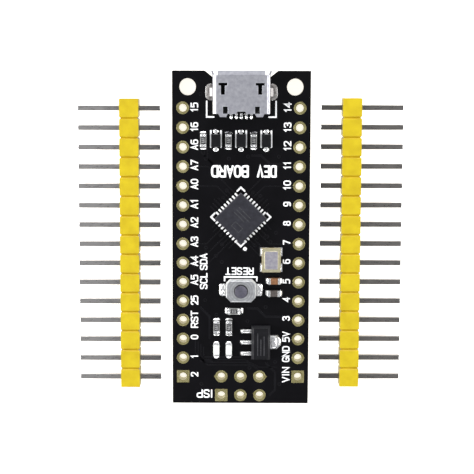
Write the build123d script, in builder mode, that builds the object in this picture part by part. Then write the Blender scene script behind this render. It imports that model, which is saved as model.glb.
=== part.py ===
from build123d import *
import os

# Small microcontroller board with a micro USB socket and a reset key, and the two
# loose pin headers that come with it.  Millimetres.  The origin is the middle of the
# board's underside: X runs across the board, Y towards the USB socket, Z up.

# ---------------------------------------------------------------- driving dimensions

# board and its plated holes
pitch = 2.54
pins_per_row = 15
row_spacing = 6 * pitch
board_width = 18.0
board_length = 44.0
board_thickness = 1.6
first_pin_y = 17.18
hole_radius = 0.5
pad_radius = 0.82
plating = 0.05
mounting_hole_radius = 1.1
mounting_hole_spacing = 14.0
mounting_hole_y = 19.9
notch_mouth = 9.6
notch_floor = 7.5
notch_depth = 0.85

# micro USB socket
usb_rear = 16.5
usb_front = 21.45
usb_width = 7.45
usb_height = 2.65
usb_wall = 0.25
usb_floor_width = 5.8
usb_corner_height = 0.9
usb_upper_bend = 0.6
usb_lower_bend = 0.3
usb_lip = 0.58
usb_lip_slope = 0.03
usb_slot_x = 4.0
usb_slot_y = 19.25
contact_count = 5
contact_pitch = 0.65
contact_thickness = 0.15
contact_width = 0.3

# microcontroller, a square leadless package turned by 45 degrees
mcu_x = -0.03
mcu_y = 2.84
mcu_size = 5.0
mcu_body_size = 4.76
mcu_height = 0.85
mcu_leads_per_side = 8
mcu_lead_pitch = 0.5
solder_film = 0.06

# crystal
crystal_x = 4.0
crystal_y = -2.68
crystal_width = 2.5
crystal_length = 3.2
crystal_base_height = 0.5

# reset key
key_x = 0.03
key_y = -6.68
key_width = 3.7
key_depth = 2.86
key_sheet = 0.2
key_body_height = 1.5
key_plunger_radius = 0.82
key_plunger_height = 2.0
key_travel = 0.25
key_slip = 0.05

# voltage regulator
regulator_x = 2.68
regulator_y = -13.7
regulator_width = 2.5
regulator_length = 4.5
regulator_height = 1.5
regulator_lead_pitch = 1.5

# chip parts, all of the 1.6 x 0.8 size, and the three small diodes
chip_length = 1.6
chip_width = 0.8
resistor_height = 0.45
capacitor_height = 0.75
led_height = 0.6
cap_length = 0.32
cap_sheet = 0.03
diode_width = 1.25
diode_length = 1.7
diode_height = 0.9

top_row_y = 12.97
top_row_pitch = 1.64
top_row_start = -4.94
across = 0.0
along = 90.0
resistor_places = [
    (top_row_start, top_row_y, along),
    (top_row_start + 2 * top_row_pitch, top_row_y, along),
    (top_row_start + 4 * top_row_pitch, top_row_y, along),
    (-0.87, -9.53, across),
    (-3.18, -11.68, along),
    (-1.54, -11.68, along),
]
capacitor_places = [(4.4, -5.46, across), (4.38, -7.1, across)]
led_places = [(-3.2, -14.76, along), (-1.54, -14.76, along)]
diode_places = [(top_row_start + (2 * i + 1) * top_row_pitch, top_row_y) for i in range(3)]

# loose pin headers, lying on their sides left and right of the board
header_width = 2.5
header_height = 2.54
header_end_gap = 0.1
header_groove = 0.28
header_left_x = -14.55
header_right_x = 14.35
header_left_y = -0.65
header_right_y = -0.5
pin_size = 0.64
pin_long_side = 5.8
pin_short_side = 3.1
pin_point = 0.35

os.makedirs("parts", exist_ok=True)

# ------------------------------------------------------------------- derived places

board_top = board_thickness
board_edge_y = board_length / 2
last_pin_y = first_pin_y - (pins_per_row - 1) * pitch
isp_upper_y = last_pin_y
isp_lower_y = last_pin_y - pitch
left_pin_places = [(-row_spacing / 2, first_pin_y - i * pitch) for i in range(pins_per_row)]
right_pin_places = [(row_spacing / 2, first_pin_y - i * pitch) for i in range(pins_per_row)]
isp_places = [(x, y) for y in (isp_upper_y, isp_lower_y) for x in (-pitch, 0, pitch)]
isp_first_place = (-pitch, isp_lower_y)
square_pad_places = [left_pin_places[-1], right_pin_places[-1], isp_first_place]
plated_places = left_pin_places + right_pin_places + isp_places
round_pad_places = [place for place in plated_places if place not in square_pad_places]
mounting_hole_places = [
    (-mounting_hole_spacing / 2, mounting_hole_y),
    (mounting_hole_spacing / 2, mounting_hole_y),
]
slot_places = [(-usb_slot_x, usb_slot_y), (usb_slot_x, usb_slot_y)]
slot_length = 1.6
slot_width = 0.65
slot_pad_length = 2.15
slot_pad_width = 1.35


def chip_plane(place, height=0.0):
    """Plane on the board at a chip part's middle, its X along the part."""
    x, y, turn = place
    return Plane(origin=(x, y, board_top + height), z_dir=(0, 0, 1)).rotated((0, 0, turn))


# ------------------------------------------------------------------------------ board

with BuildPart() as pcb:
    with BuildSketch():
        Rectangle(board_width, board_length)
        with BuildLine():
            Polyline(
                (-notch_mouth / 2, board_edge_y),
                (-notch_floor / 2, board_edge_y - notch_depth),
                (notch_floor / 2, board_edge_y - notch_depth),
                (notch_mouth / 2, board_edge_y),
                close=True,
            )
        make_face(mode=Mode.SUBTRACT)
        with Locations(*mounting_hole_places):
            Circle(mounting_hole_radius, mode=Mode.SUBTRACT)
        with Locations(*plated_places):
            Circle(hole_radius + plating, mode=Mode.SUBTRACT)
        with Locations(*slot_places):
            SlotOverall(slot_length, slot_width, rotation=90, mode=Mode.SUBTRACT)
    extrude(amount=board_thickness)
    # shallow seats for the pads, in both faces
    for seat_floor in (0, board_top - plating):
        with BuildSketch(Plane.XY.offset(seat_floor)):
            with Locations(*round_pad_places):
                Circle(pad_radius)
            with Locations(*square_pad_places):
                Rectangle(2 * pad_radius, 2 * pad_radius)
            with Locations(*slot_places):
                SlotOverall(slot_pad_length, slot_pad_width, rotation=90)
        extrude(amount=plating, mode=Mode.SUBTRACT)
pcb.part.label = "pcb"
export_step(pcb.part, "parts/pcb.step")


def plated_holes(places):
    """Copper sleeves with a pad at each end, one for each place."""
    squares = [place for place in places if place in square_pad_places]
    rounds = [place for place in places if place not in square_pad_places]
    with BuildPart() as sleeves:
        for pad_floor in (0, board_top - plating):
            with BuildSketch(Plane.XY.offset(pad_floor)):
                with Locations(*rounds):
                    Circle(pad_radius)
                with Locations(*squares):
                    Rectangle(2 * pad_radius, 2 * pad_radius)
            extrude(amount=plating)
        with BuildSketch():
            with Locations(*places):
                Circle(hole_radius + plating)
        extrude(amount=board_thickness)
        with BuildSketch():
            with Locations(*places):
                Circle(hole_radius)
        extrude(amount=board_thickness, mode=Mode.SUBTRACT)
    return sleeves


pads_left = plated_holes(left_pin_places)
pads_left.part.label = "pads_left"
export_step(pads_left.part, "parts/pads_left.step")

pads_right = plated_holes(right_pin_places)
pads_right.part.label = "pads_right"
export_step(pads_right.part, "parts/pads_right.step")

pads_isp = plated_holes(isp_places)
pads_isp.part.label = "pads_isp"
export_step(pads_isp.part, "parts/pads_isp.step")

with BuildPart() as usb_slot_plating:
    for pad_floor in (0, board_top - plating):
        with BuildSketch(Plane.XY.offset(pad_floor)):
            with Locations(*slot_places):
                SlotOverall(slot_pad_length, slot_pad_width, rotation=90)
        extrude(amount=plating)
    with BuildSketch():
        with Locations(*slot_places):
            SlotOverall(slot_length, slot_width, rotation=90)
    extrude(amount=board_thickness)
    with BuildSketch():
        with Locations(*slot_places):
            SlotOverall(slot_length - 2 * plating, slot_width - 2 * plating, rotation=90)
    extrude(amount=board_thickness, mode=Mode.SUBTRACT)
usb_slot_plating.part.label = "usb_slot_plating"
export_step(usb_slot_plating.part, "parts/usb_slot_plating.step")

# ------------------------------------------------------------------------- USB socket

usb_length = usb_front - usb_rear
usb_top = board_top + usb_height
usb_half = usb_width / 2
usb_corner_z = board_top + usb_corner_height
t_bar = (1.16, 0.34)
t_stem = (0.52, 1.5)
t_slot_x = 2.38
t_slot_top_y = 20.44
rear_slot = (0.62, 0.92)
rear_slot_x = 2.05
rear_notch_top = 0.9
rear_notch_bottom = 1.45
rear_notch_depth = 0.3
rear_tab_x = 2.35
rear_tab_reach = 0.4
rear_tab_top = 1.2
rear_tab_bottom = 0.8
rear_tab_drop = 1.85
lead_bay_width = 3.5
lead_bay_depth = 0.8
lip_rise = 0.25
lip_half = 3.05
floor_lip_half = 2.4
side_lip_flare = 0.22
side_lip_height = 1.3
side_lip_floor = 2.55
leg_thickness = 0.25
leg_width = 1.1
leg_inner_x = 3.85
leg_shoulder = 2.6
leg_foot = 0.35

with BuildPart() as usb_shell:
    # folded tube: flat top, two slanted lower corners, open at both ends
    with BuildSketch(Plane.XZ.offset(-usb_front)) as tube:
        with BuildLine():
            Polyline(
                (-usb_half, usb_top),
                (-usb_half, usb_corner_z),
                (-usb_floor_width / 2, board_top),
                (usb_floor_width / 2, board_top),
                (usb_half, usb_corner_z),
                (usb_half, usb_top),
                close=True,
            )
        make_face()
        fillet(tube.vertices().group_by(Axis.Y)[-1], radius=usb_upper_bend)
        fillet(tube.vertices().group_by(Axis.Y)[0], radius=usb_lower_bend)
        offset(amount=-usb_wall, mode=Mode.SUBTRACT)
    extrude(amount=usb_length)
    # latch windows, rear windows and the middle notch of the top sheet
    with BuildSketch(Plane.XY.offset(usb_top - usb_wall)):
        with Locations((-t_slot_x, t_slot_top_y), (t_slot_x, t_slot_top_y)):
            Rectangle(*t_bar, align=(Align.CENTER, Align.MAX))
            Rectangle(*t_stem, align=(Align.CENTER, Align.MAX))
        with Locations((-rear_slot_x, usb_rear), (rear_slot_x, usb_rear)):
            Rectangle(*rear_slot, align=(Align.CENTER, Align.MIN))
        with BuildLine():
            Polyline(
                (-rear_notch_bottom / 2, usb_rear),
                (-rear_notch_top / 2, usb_rear + rear_notch_depth),
                (rear_notch_top / 2, usb_rear + rear_notch_depth),
                (rear_notch_bottom / 2, usb_rear),
                close=True,
            )
        make_face()
    extrude(amount=usb_wall, mode=Mode.SUBTRACT)
    # bay in the floor sheet, where the contact tails come out
    with BuildSketch(Plane.XY.offset(board_top)):
        with Locations((0, usb_rear)):
            Rectangle(lead_bay_width, lead_bay_depth, align=(Align.CENTER, Align.MIN))
    extrude(amount=usb_wall, mode=Mode.SUBTRACT)
    # two tabs bent down behind the top sheet
    for side in (-1, 1):
        with BuildSketch(Plane.XY.offset(usb_top - usb_wall)):
            with BuildLine():
                Polyline(
                    (side * rear_tab_x - rear_tab_top / 2, usb_rear),
                    (side * rear_tab_x - rear_tab_bottom / 2, usb_rear - rear_tab_reach),
                    (side * rear_tab_x + rear_tab_bottom / 2, usb_rear - rear_tab_reach),
                    (side * rear_tab_x + rear_tab_top / 2, usb_rear),
                    close=True,
                )
            make_face()
        extrude(amount=usb_wall)
        with BuildSketch(Plane.XY.offset(usb_top - rear_tab_drop)):
            with Locations((side * rear_tab_x, usb_rear - rear_tab_reach)):
                Rectangle(rear_tab_bottom, usb_wall, align=(Align.CENTER, Align.MIN))
        extrude(amount=rear_tab_drop - usb_wall)
    # flared lips round the mouth: top, bottom and both sides
    with BuildSketch(Plane.YZ.offset(-lip_half)):
        with BuildLine():
            Polyline(
                (usb_front, usb_top - usb_wall),
                (usb_front, usb_top),
                (usb_front + usb_lip - usb_lip_slope, usb_top + lip_rise),
                (usb_front + usb_lip, usb_top + lip_rise - usb_wall),
                close=True,
            )
        make_face()
    extrude(amount=2 * lip_half)
    with BuildSketch(Plane.YZ.offset(-floor_lip_half)):
        with BuildLine():
            Polyline(
                (usb_front, board_top + usb_wall),
                (usb_front, board_top),
                (usb_front + usb_lip - usb_lip_slope, board_top - lip_rise),
                (usb_front + usb_lip, board_top - lip_rise + usb_wall),
                close=True,
            )
        make_face()
    extrude(amount=2 * floor_lip_half)
    for side in (-1, 1):
        with BuildSketch(Plane.XY.offset(side_lip_floor)):
            with BuildLine():
                Polyline(
                    (side * usb_half, usb_front),
                    (side * (usb_half - usb_wall), usb_front),
                    (side * (usb_half - usb_wall + side_lip_flare), usb_front + usb_lip),
                    (side * (usb_half + side_lip_flare), usb_front + usb_lip - usb_lip_slope),
                    close=True,
                )
            make_face()
        extrude(amount=side_lip_height)
    # two legs that reach down into the board's slots
    for side in (-1, 1):
        with BuildSketch(Plane.XZ.offset(-(usb_slot_y + leg_width / 2))):
            with BuildLine():
                Polyline(
                    (side * (usb_half - usb_wall / 2), leg_shoulder),
                    (side * leg_inner_x, leg_shoulder),
                    (side * leg_inner_x, leg_foot),
                    (side * (leg_inner_x + leg_thickness), leg_foot),
                    (side * (leg_inner_x + leg_thickness), leg_shoulder + leg_thickness),
                    (side * (usb_half - usb_wall / 2), leg_shoulder + 2 * leg_thickness),
                    close=True,
                )
            make_face()
        extrude(amount=leg_width)
usb_shell.part.label = "usb_shell"
export_step(usb_shell.part, "parts/usb_shell.step")

contact_tail_y = 15.9
contact_bend_y = 16.9
contact_tip_y = 20.7
contact_rise = 1.15
contact_x = [(i - (contact_count - 1) / 2) * contact_pitch for i in range(contact_count)]

with BuildPart() as usb_contacts:
    for x in contact_x:
        with BuildSketch(Plane.YZ.offset(x - contact_width / 2)):
            with BuildLine():
                Polyline(
                    (contact_tail_y, board_top),
                    (contact_bend_y, board_top),
                    (contact_bend_y, board_top + contact_rise - contact_thickness),
                    (contact_tip_y, board_top + contact_rise - contact_thickness),
                    (contact_tip_y, board_top + contact_rise),
                    (contact_bend_y - contact_thickness, board_top + contact_rise),
                    (contact_bend_y - contact_thickness, board_top + contact_thickness),
                    (contact_tail_y, board_top + contact_thickness),
                    close=True,
                )
            make_face()
        extrude(amount=contact_width)
usb_contacts.part.label = "usb_contacts"
export_step(usb_contacts.part, "parts/usb_contacts.step")

housing_slip = 0.02
housing_rear = usb_rear + 0.08
housing_depth = 1.75
tongue_width = 3.7
tongue_height = 0.6
tongue_tip_y = 21.0

with BuildPart() as usb_insulator:
    # block that fills the back of the shell
    with BuildSketch(Plane.XZ.offset(-(housing_rear + housing_depth))) as block:
        with BuildLine():
            Polyline(
                (-usb_half, usb_top),
                (-usb_half, usb_corner_z),
                (-usb_floor_width / 2, board_top),
                (usb_floor_width / 2, board_top),
                (usb_half, usb_corner_z),
                (usb_half, usb_top),
                close=True,
            )
        make_face()
        fillet(block.vertices().group_by(Axis.Y)[-1], radius=usb_upper_bend)
        fillet(block.vertices().group_by(Axis.Y)[0], radius=usb_lower_bend)
        offset(amount=-(usb_wall + housing_slip), mode=Mode.REPLACE)
    extrude(amount=housing_depth)
    # tongue that carries the contacts
    with BuildSketch(Plane.XZ.offset(-tongue_tip_y)):
        with Locations((0, board_top + contact_rise - contact_thickness)):
            Rectangle(tongue_width, tongue_height, align=(Align.CENTER, Align.MIN))
    extrude(amount=tongue_tip_y - housing_rear - housing_depth)
    add(usb_contacts.part, mode=Mode.SUBTRACT)
usb_insulator.part.label = "usb_insulator"
export_step(usb_insulator.part, "parts/usb_insulator.step")

tail_solder_reach = 0.2
tail_solder_width = 0.4
leg_solder_height = 0.55
leg_solder_margin = 0.05
leg_solder_crown = (1.4, 0.35)

with BuildPart() as usb_solder:
    for side in (-1, 1):
        with BuildSketch(Plane.XY.offset(board_top)):
            with Locations((side * usb_slot_x, usb_slot_y)):
                SlotOverall(
                    slot_pad_length - leg_solder_margin,
                    slot_pad_width - leg_solder_margin,
                    rotation=90,
                )
        with BuildSketch(Plane.XY.offset(board_top + leg_solder_height)):
            with Locations((side * usb_slot_x, usb_slot_y)):
                SlotOverall(*leg_solder_crown, rotation=90)
        loft()
    add(usb_shell.part, mode=Mode.SUBTRACT)
    for x in contact_x:
        with BuildSketch(Plane.XY.offset(board_top)):
            with Locations((x, contact_tail_y)):
                Rectangle(tail_solder_width, tail_solder_reach, align=(Align.CENTER, Align.MAX))
        with BuildSketch(Plane.XY.offset(board_top + contact_thickness)):
            with Locations((x, contact_tail_y)):
                Rectangle(contact_width, tail_solder_reach / 4, align=(Align.CENTER, Align.MAX))
        loft()
usb_solder.part.label = "usb_solder"
export_step(usb_solder.part, "parts/usb_solder.step")

# -------------------------------------------------------------------- microcontroller

mcu_plane = Plane(origin=(mcu_x, mcu_y, board_top), z_dir=(0, 0, 1)).rotated((0, 0, 45))
mcu_lead_size = (0.4, 0.24, 0.2)
mcu_land_reach = 0.35
mcu_die_pad_size = 3.1
mcu_die_size = 2.2
mcu_die_height = 0.25
mcu_die_solder_size = 2.9
mcu_edge = 0.06
mcu_mark_inset = 0.65
mcu_mark_radius = 0.22
mcu_mark_depth = 0.05

with BuildPart(mcu_plane.offset(solder_film)) as mcu_leads:
    with PolarLocations(mcu_size / 2, 4):
        with GridLocations(0, mcu_lead_pitch, 1, mcu_leads_per_side):
            Box(*mcu_lead_size, align=(Align.MAX, Align.CENTER, Align.MIN))
mcu_leads.part.label = "mcu_leads"
export_step(mcu_leads.part, "parts/mcu_leads.step")

with BuildPart(mcu_plane.offset(solder_film)) as mcu_die_pad:
    Box(
        mcu_die_pad_size,
        mcu_die_pad_size,
        mcu_lead_size[2],
        align=(Align.CENTER, Align.CENTER, Align.MIN),
    )
mcu_die_pad.part.label = "mcu_die_pad"
export_step(mcu_die_pad.part, "parts/mcu_die_pad.step")

with BuildPart(mcu_plane.offset(solder_film + mcu_lead_size[2])) as mcu_die:
    Box(mcu_die_size, mcu_die_size, mcu_die_height, align=(Align.CENTER, Align.CENTER, Align.MIN))
mcu_die.part.label = "mcu_die"
export_step(mcu_die.part, "parts/mcu_die.step")

with BuildPart() as mcu_package:
    with BuildSketch(mcu_plane.offset(solder_film)):
        Rectangle(mcu_body_size, mcu_body_size)
    extrude(amount=mcu_height)
    chamfer(mcu_package.faces().sort_by(Axis.Z)[-1].edges(), length=mcu_edge)
    # shallow mark beside the first lead
    with BuildSketch(mcu_plane.offset(solder_film + mcu_height)):
        with Locations((mcu_mark_inset - mcu_body_size / 2, mcu_mark_inset - mcu_body_size / 2)):
            Circle(mcu_mark_radius)
    extrude(amount=-mcu_mark_depth, mode=Mode.SUBTRACT)
    add(mcu_leads.part, mode=Mode.SUBTRACT)
    add(mcu_die_pad.part, mode=Mode.SUBTRACT)
    add(mcu_die.part, mode=Mode.SUBTRACT)
mcu_package.part.label = "mcu_package"
export_step(mcu_package.part, "parts/mcu_package.step")

with BuildPart(mcu_plane) as mcu_solder:
    with PolarLocations(mcu_size / 2 - mcu_lead_size[0], 4):
        with GridLocations(0, mcu_lead_pitch, 1, mcu_leads_per_side):
            Box(
                mcu_lead_size[0] + mcu_land_reach,
                mcu_lead_size[1],
                solder_film,
                align=(Align.MIN, Align.CENTER, Align.MIN),
            )
    Box(
        mcu_die_solder_size,
        mcu_die_solder_size,
        solder_film,
        align=(Align.CENTER, Align.CENTER, Align.MIN),
    )
mcu_solder.part.label = "mcu_solder"
export_step(mcu_solder.part, "parts/mcu_solder.step")

# ---------------------------------------------------------------------------- crystal

crystal_plane = Plane(origin=(crystal_x, crystal_y, board_top))
crystal_corner = 0.12
crystal_pocket = (1.5, 2.2)
crystal_pocket_depth = 0.22
crystal_ring_height = 0.1
crystal_ring_size = (2.4, 3.1)
crystal_ring_width = 0.42
crystal_lid_size = (1.78, 2.46)
crystal_lid_height = 0.08
crystal_lid_edge = 0.04
crystal_blank_size = (1.2, 1.9)
crystal_blank_height = 0.06
crystal_land = (1.15, 1.2)
crystal_land_x = 0.92
crystal_land_y = 1.05

with BuildPart() as crystal_base:
    with BuildSketch(crystal_plane.offset(solder_film)) as crystal_foot:
        Rectangle(crystal_width, crystal_length)
        fillet(crystal_foot.vertices(), radius=crystal_corner)
    extrude(amount=crystal_base_height)
    with BuildSketch(crystal_plane.offset(solder_film + crystal_base_height)):
        Rectangle(*crystal_pocket)
    extrude(amount=-crystal_pocket_depth, mode=Mode.SUBTRACT)
crystal_base.part.label = "crystal_base"
export_step(crystal_base.part, "parts/crystal_base.step")

with BuildPart() as crystal_blank:
    with BuildSketch(crystal_plane.offset(solder_film + crystal_base_height - crystal_pocket_depth)):
        Rectangle(*crystal_blank_size)
    extrude(amount=crystal_blank_height)
crystal_blank.part.label = "crystal_blank"
export_step(crystal_blank.part, "parts/crystal_blank.step")

with BuildPart() as crystal_ring:
    with BuildSketch(crystal_plane.offset(solder_film + crystal_base_height)) as ring_outline:
        Rectangle(*crystal_ring_size)
        fillet(ring_outline.vertices(), radius=crystal_corner)
        offset(amount=-crystal_ring_width, mode=Mode.SUBTRACT)
    extrude(amount=crystal_ring_height)
crystal_ring.part.label = "crystal_ring"
export_step(crystal_ring.part, "parts/crystal_ring.step")

crystal_lid_seat = solder_film + crystal_base_height + crystal_ring_height

with BuildPart() as crystal_lid:
    with BuildSketch(crystal_plane.offset(crystal_lid_seat)) as lid_outline:
        Rectangle(*crystal_lid_size)
        fillet(lid_outline.vertices(), radius=crystal_corner)
    extrude(amount=crystal_lid_height)
    chamfer(crystal_lid.faces().sort_by(Axis.Z)[-1].edges(), length=crystal_lid_edge)
crystal_lid.part.label = "crystal_lid"
export_step(crystal_lid.part, "parts/crystal_lid.step")

with BuildPart(crystal_plane) as crystal_solder:
    with GridLocations(2 * crystal_land_x, 2 * crystal_land_y, 2, 2):
        Box(*crystal_land, solder_film, align=(Align.CENTER, Align.CENTER, Align.MIN))
crystal_solder.part.label = "crystal_solder"
export_step(crystal_solder.part, "parts/crystal_solder.step")

# -------------------------------------------------------------------------- reset key

key_plane = Plane(origin=(key_x, key_y, board_top))
key_corner = 0.55
key_skirt_width = 2.6
key_skirt_depth = 0.85
key_window_radius = key_plunger_radius + 0.1
key_floor = 0.35
key_well_radius = 1.27
key_flange_radius = 1.15
key_flange_height = 0.35
key_dome_radius = 1.2
key_dome_crown = 0.5
key_dome_sheet = 0.06
key_dome_rise = 0.22
key_base_height = key_body_height - key_sheet
key_base_lip = 0.5
key_base_overhang = 0.1
key_base_corner = 0.5
key_skirt_slip = 0.02
key_cover_bend = 0.15
key_plunger_edge = 0.08
key_terminal_width = 1.6
key_terminal_sheet = 0.15
key_terminal_inner = 1.35
key_terminal_outer = 2.65
key_terminal_hole = 0.12
key_terminal_hole_inset = (0.3, 0.25)

with BuildPart() as key_terminals:
    for side in (-1, 1):
        with BuildSketch(key_plane):
            with Locations((side * (key_terminal_inner + key_terminal_outer) / 2, 0)):
                Rectangle(key_terminal_outer - key_terminal_inner, key_terminal_width)
            hole_x = key_terminal_outer - key_terminal_hole_inset[0]
            hole_y = key_terminal_width / 2 - key_terminal_hole_inset[1]
            with Locations((side * hole_x, hole_y)):
                Circle(key_terminal_hole, mode=Mode.SUBTRACT)
        extrude(amount=key_terminal_sheet)
key_terminals.part.label = "key_terminals"
export_step(key_terminals.part, "parts/key_terminals.step")

with BuildPart() as key_base:
    with BuildSketch(key_plane) as key_foot:
        Rectangle(key_width + 2 * key_base_overhang, key_depth)
        chamfer(key_foot.vertices(), length=key_base_corner)
    extrude(amount=key_base_lip)
    with BuildSketch(key_plane.offset(key_base_lip)) as key_core:
        Rectangle(key_width - 2 * key_base_overhang, key_depth - 2 * (key_sheet + key_skirt_slip))
        chamfer(key_core.vertices(), length=key_corner)
    extrude(amount=key_base_height - key_base_lip)
    with BuildSketch(key_plane.offset(key_floor)):
        Circle(key_well_radius)
    extrude(amount=key_base_height, mode=Mode.SUBTRACT)
    add(key_terminals.part, mode=Mode.SUBTRACT)
key_base.part.label = "key_base"
export_step(key_base.part, "parts/key_base.step")

with BuildPart() as key_dome:
    # snap spring: a shallow dished disc standing on the well's floor
    with BuildSketch(Plane.XZ.offset(-key_y)):
        with BuildLine():
            Polyline(
                (key_x + key_dome_radius, board_top + key_floor),
                (key_x + key_dome_crown, board_top + key_floor + key_dome_rise),
                (key_x, board_top + key_floor + key_dome_rise),
                (key_x, board_top + key_floor + key_dome_rise - key_dome_sheet),
                (key_x + key_dome_crown, board_top + key_floor + key_dome_rise - key_dome_sheet),
                (key_x + key_dome_radius - 2 * key_dome_sheet, board_top + key_floor),
                close=True,
            )
        make_face()
    revolve(axis=Axis((key_x, key_y, 0), (0, 0, 1)))
key_dome.part.label = "key_dome"
export_step(key_dome.part, "parts/key_dome.step")

with BuildPart() as key_cover:
    # eight-sided top sheet with a skirt folded down along both long sides
    with BuildSketch(key_plane.offset(key_body_height - key_sheet)) as cover_outline:
        Rectangle(key_width, key_depth)
        chamfer(cover_outline.vertices(), length=key_corner)
        Circle(key_window_radius, mode=Mode.SUBTRACT)
    extrude(amount=key_sheet)
    with BuildSketch(key_plane.offset(key_body_height - key_skirt_depth)):
        for side in (-1, 1):
            with Locations((0, side * (key_depth - key_sheet) / 2)):
                Rectangle(key_skirt_width, key_sheet)
    extrude(amount=key_skirt_depth - key_sheet)
    long_edges = key_cover.faces().sort_by(Axis.Z)[-1].edges().filter_by(Axis.X)
    fillet(long_edges, radius=key_cover_bend)
key_cover.part.label = "key_cover"
export_step(key_cover.part, "parts/key_cover.step")

with BuildPart() as reset_plunger:
    with BuildSketch(key_plane.offset(key_base_height - key_slip - key_flange_height)):
        Circle(key_flange_radius)
    extrude(amount=key_flange_height)
    with BuildSketch(key_plane.offset(key_base_height - key_slip)):
        Circle(key_plunger_radius)
    extrude(amount=key_plunger_height - key_base_height + key_slip)
    fillet(reset_plunger.faces().sort_by(Axis.Z)[-1].edges(), radius=key_plunger_edge)
reset_plunger.part.label = "reset_plunger"
export_step(reset_plunger.part, "parts/reset_plunger.step")

key_solder_reach = 0.22
key_solder_crown = (0.045, 1.4)

with BuildPart() as key_solder:
    for side in (-1, 1):
        terminal_end = side * key_terminal_outer
        outward = (Align.MIN if side > 0 else Align.MAX, Align.CENTER)
        with BuildSketch(key_plane):
            with Locations((terminal_end, 0)):
                Rectangle(key_solder_reach, key_terminal_width, align=outward)
        with BuildSketch(key_plane.offset(key_terminal_sheet)):
            with Locations((terminal_end, 0)):
                Rectangle(*key_solder_crown, align=outward)
        loft()
key_solder.part.label = "key_solder"
export_step(key_solder.part, "parts/key_solder.step")

# -------------------------------------------------------------------------- regulator

regulator_plane = Plane(origin=(regulator_x, regulator_y, board_top))
regulator_waist = 0.42
regulator_top_width = 1.85
regulator_top_length = 4.1
regulator_lead_size = (1.55, 0.44)
regulator_lead_sheet = 0.36
regulator_lead_start = -2.55
regulator_tab_half = 0.8
regulator_tab_neck = 1.7
regulator_tab_end = 2.35
regulator_tab_end_half = 0.42

with BuildPart() as regulator_leads:
    with BuildSketch(regulator_plane):
        for step in (-1, 1):
            with Locations((regulator_lead_start, step * regulator_lead_pitch)):
                Rectangle(*regulator_lead_size, align=(Align.MIN, Align.CENTER))
        # the middle lead carries the heat tab on the other side
        with BuildLine():
            Polyline(
                (regulator_lead_start, -regulator_lead_size[1] / 2),
                (0, -regulator_lead_size[1] / 2),
                (0, -regulator_tab_half),
                (regulator_tab_neck, -regulator_tab_half),
                (regulator_tab_end, -regulator_tab_end_half),
                (regulator_tab_end, regulator_tab_end_half),
                (regulator_tab_neck, regulator_tab_half),
                (0, regulator_tab_half),
                (0, regulator_lead_size[1] / 2),
                (regulator_lead_start, regulator_lead_size[1] / 2),
                close=True,
            )
        make_face()
    extrude(amount=regulator_lead_sheet)
regulator_leads.part.label = "regulator_leads"
export_step(regulator_leads.part, "parts/regulator_leads.step")

with BuildPart() as regulator_body:
    with BuildSketch(regulator_plane):
        Rectangle(regulator_width, regulator_length)
    extrude(amount=regulator_waist)
    with BuildSketch(regulator_plane.offset(regulator_waist)):
        Rectangle(regulator_width, regulator_length)
    with BuildSketch(regulator_plane.offset(regulator_height)):
        Rectangle(regulator_top_width, regulator_top_length)
    loft()
    add(regulator_leads.part, mode=Mode.SUBTRACT)
regulator_body.part.label = "regulator_body"
export_step(regulator_body.part, "parts/regulator_body.step")

regulator_solder_height = 0.3
regulator_foot_solder = (0.22, 0.6)
regulator_foot_crown = (0.055, 0.44)
tab_solder_start = regulator_width / 2 + 0.02
tab_solder_foot = [(0.98, 2.2), (0.28, 2.72)]
tab_solder_crown = [(0.84, 1.75), (0.44, 2.42)]

with BuildPart() as regulator_solder:
    for step in (-1, 0, 1):
        with BuildSketch(regulator_plane):
            with Locations((regulator_lead_start, step * regulator_lead_pitch)):
                Rectangle(*regulator_foot_solder, align=(Align.MAX, Align.CENTER))
        with BuildSketch(regulator_plane.offset(regulator_solder_height)):
            with Locations((regulator_lead_start, step * regulator_lead_pitch)):
                Rectangle(*regulator_foot_crown, align=(Align.MAX, Align.CENTER))
        loft()
    # six-sided fillet round the heat tab
    for height, outline in ((0, tab_solder_foot), (regulator_solder_height, tab_solder_crown)):
        wide, far = outline
        with BuildSketch(regulator_plane.offset(height)):
            with BuildLine():
                Polyline(
                    (tab_solder_start, -wide[0]),
                    (wide[1], -wide[0]),
                    (far[1], -far[0]),
                    (far[1], far[0]),
                    (wide[1], wide[0]),
                    (tab_solder_start, wide[0]),
                    close=True,
                )
            make_face()
    loft()
    add(regulator_leads.part, mode=Mode.SUBTRACT)
regulator_solder.part.label = "regulator_solder"
export_step(regulator_solder.part, "parts/regulator_solder.step")

# ------------------------------------------------------------------------ chip parts

chip_lift = 0.03
core_height = chip_lift + cap_sheet
chip_solder_foot = (0.38, 0.95)
chip_solder_crown = (0.05, 0.75)
resistor_solder_height = 0.36
capacitor_solder_height = 0.5
coat_margin = 0.11


def end_caps(places, height):
    """Metal caps wrapped round both ends of each chip part."""
    with BuildPart() as caps:
        for place in places:
            with BuildSketch(chip_plane(place, chip_lift)):
                with GridLocations(chip_length - cap_length, 0, 2, 1):
                    Rectangle(cap_length, chip_width)
            extrude(amount=height)
            with BuildSketch(chip_plane(place, core_height)):
                Rectangle(chip_length - 2 * cap_sheet, chip_width)
            extrude(amount=height - 2 * cap_sheet, mode=Mode.SUBTRACT)
    return caps


def end_solder(places, height):
    """Solder fillets that run from the board up both ends of each chip part."""
    with BuildPart() as fillets:
        for place in places:
            for side in (-1, 1):
                end = (side * chip_length / 2, 0)
                outward = (Align.MIN if side > 0 else Align.MAX, Align.CENTER)
                with BuildSketch(chip_plane(place)):
                    with Locations(end):
                        Rectangle(*chip_solder_foot, align=outward)
                with BuildSketch(chip_plane(place, height)):
                    with Locations(end):
                        Rectangle(*chip_solder_crown, align=outward)
                loft()
    return fillets


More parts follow.
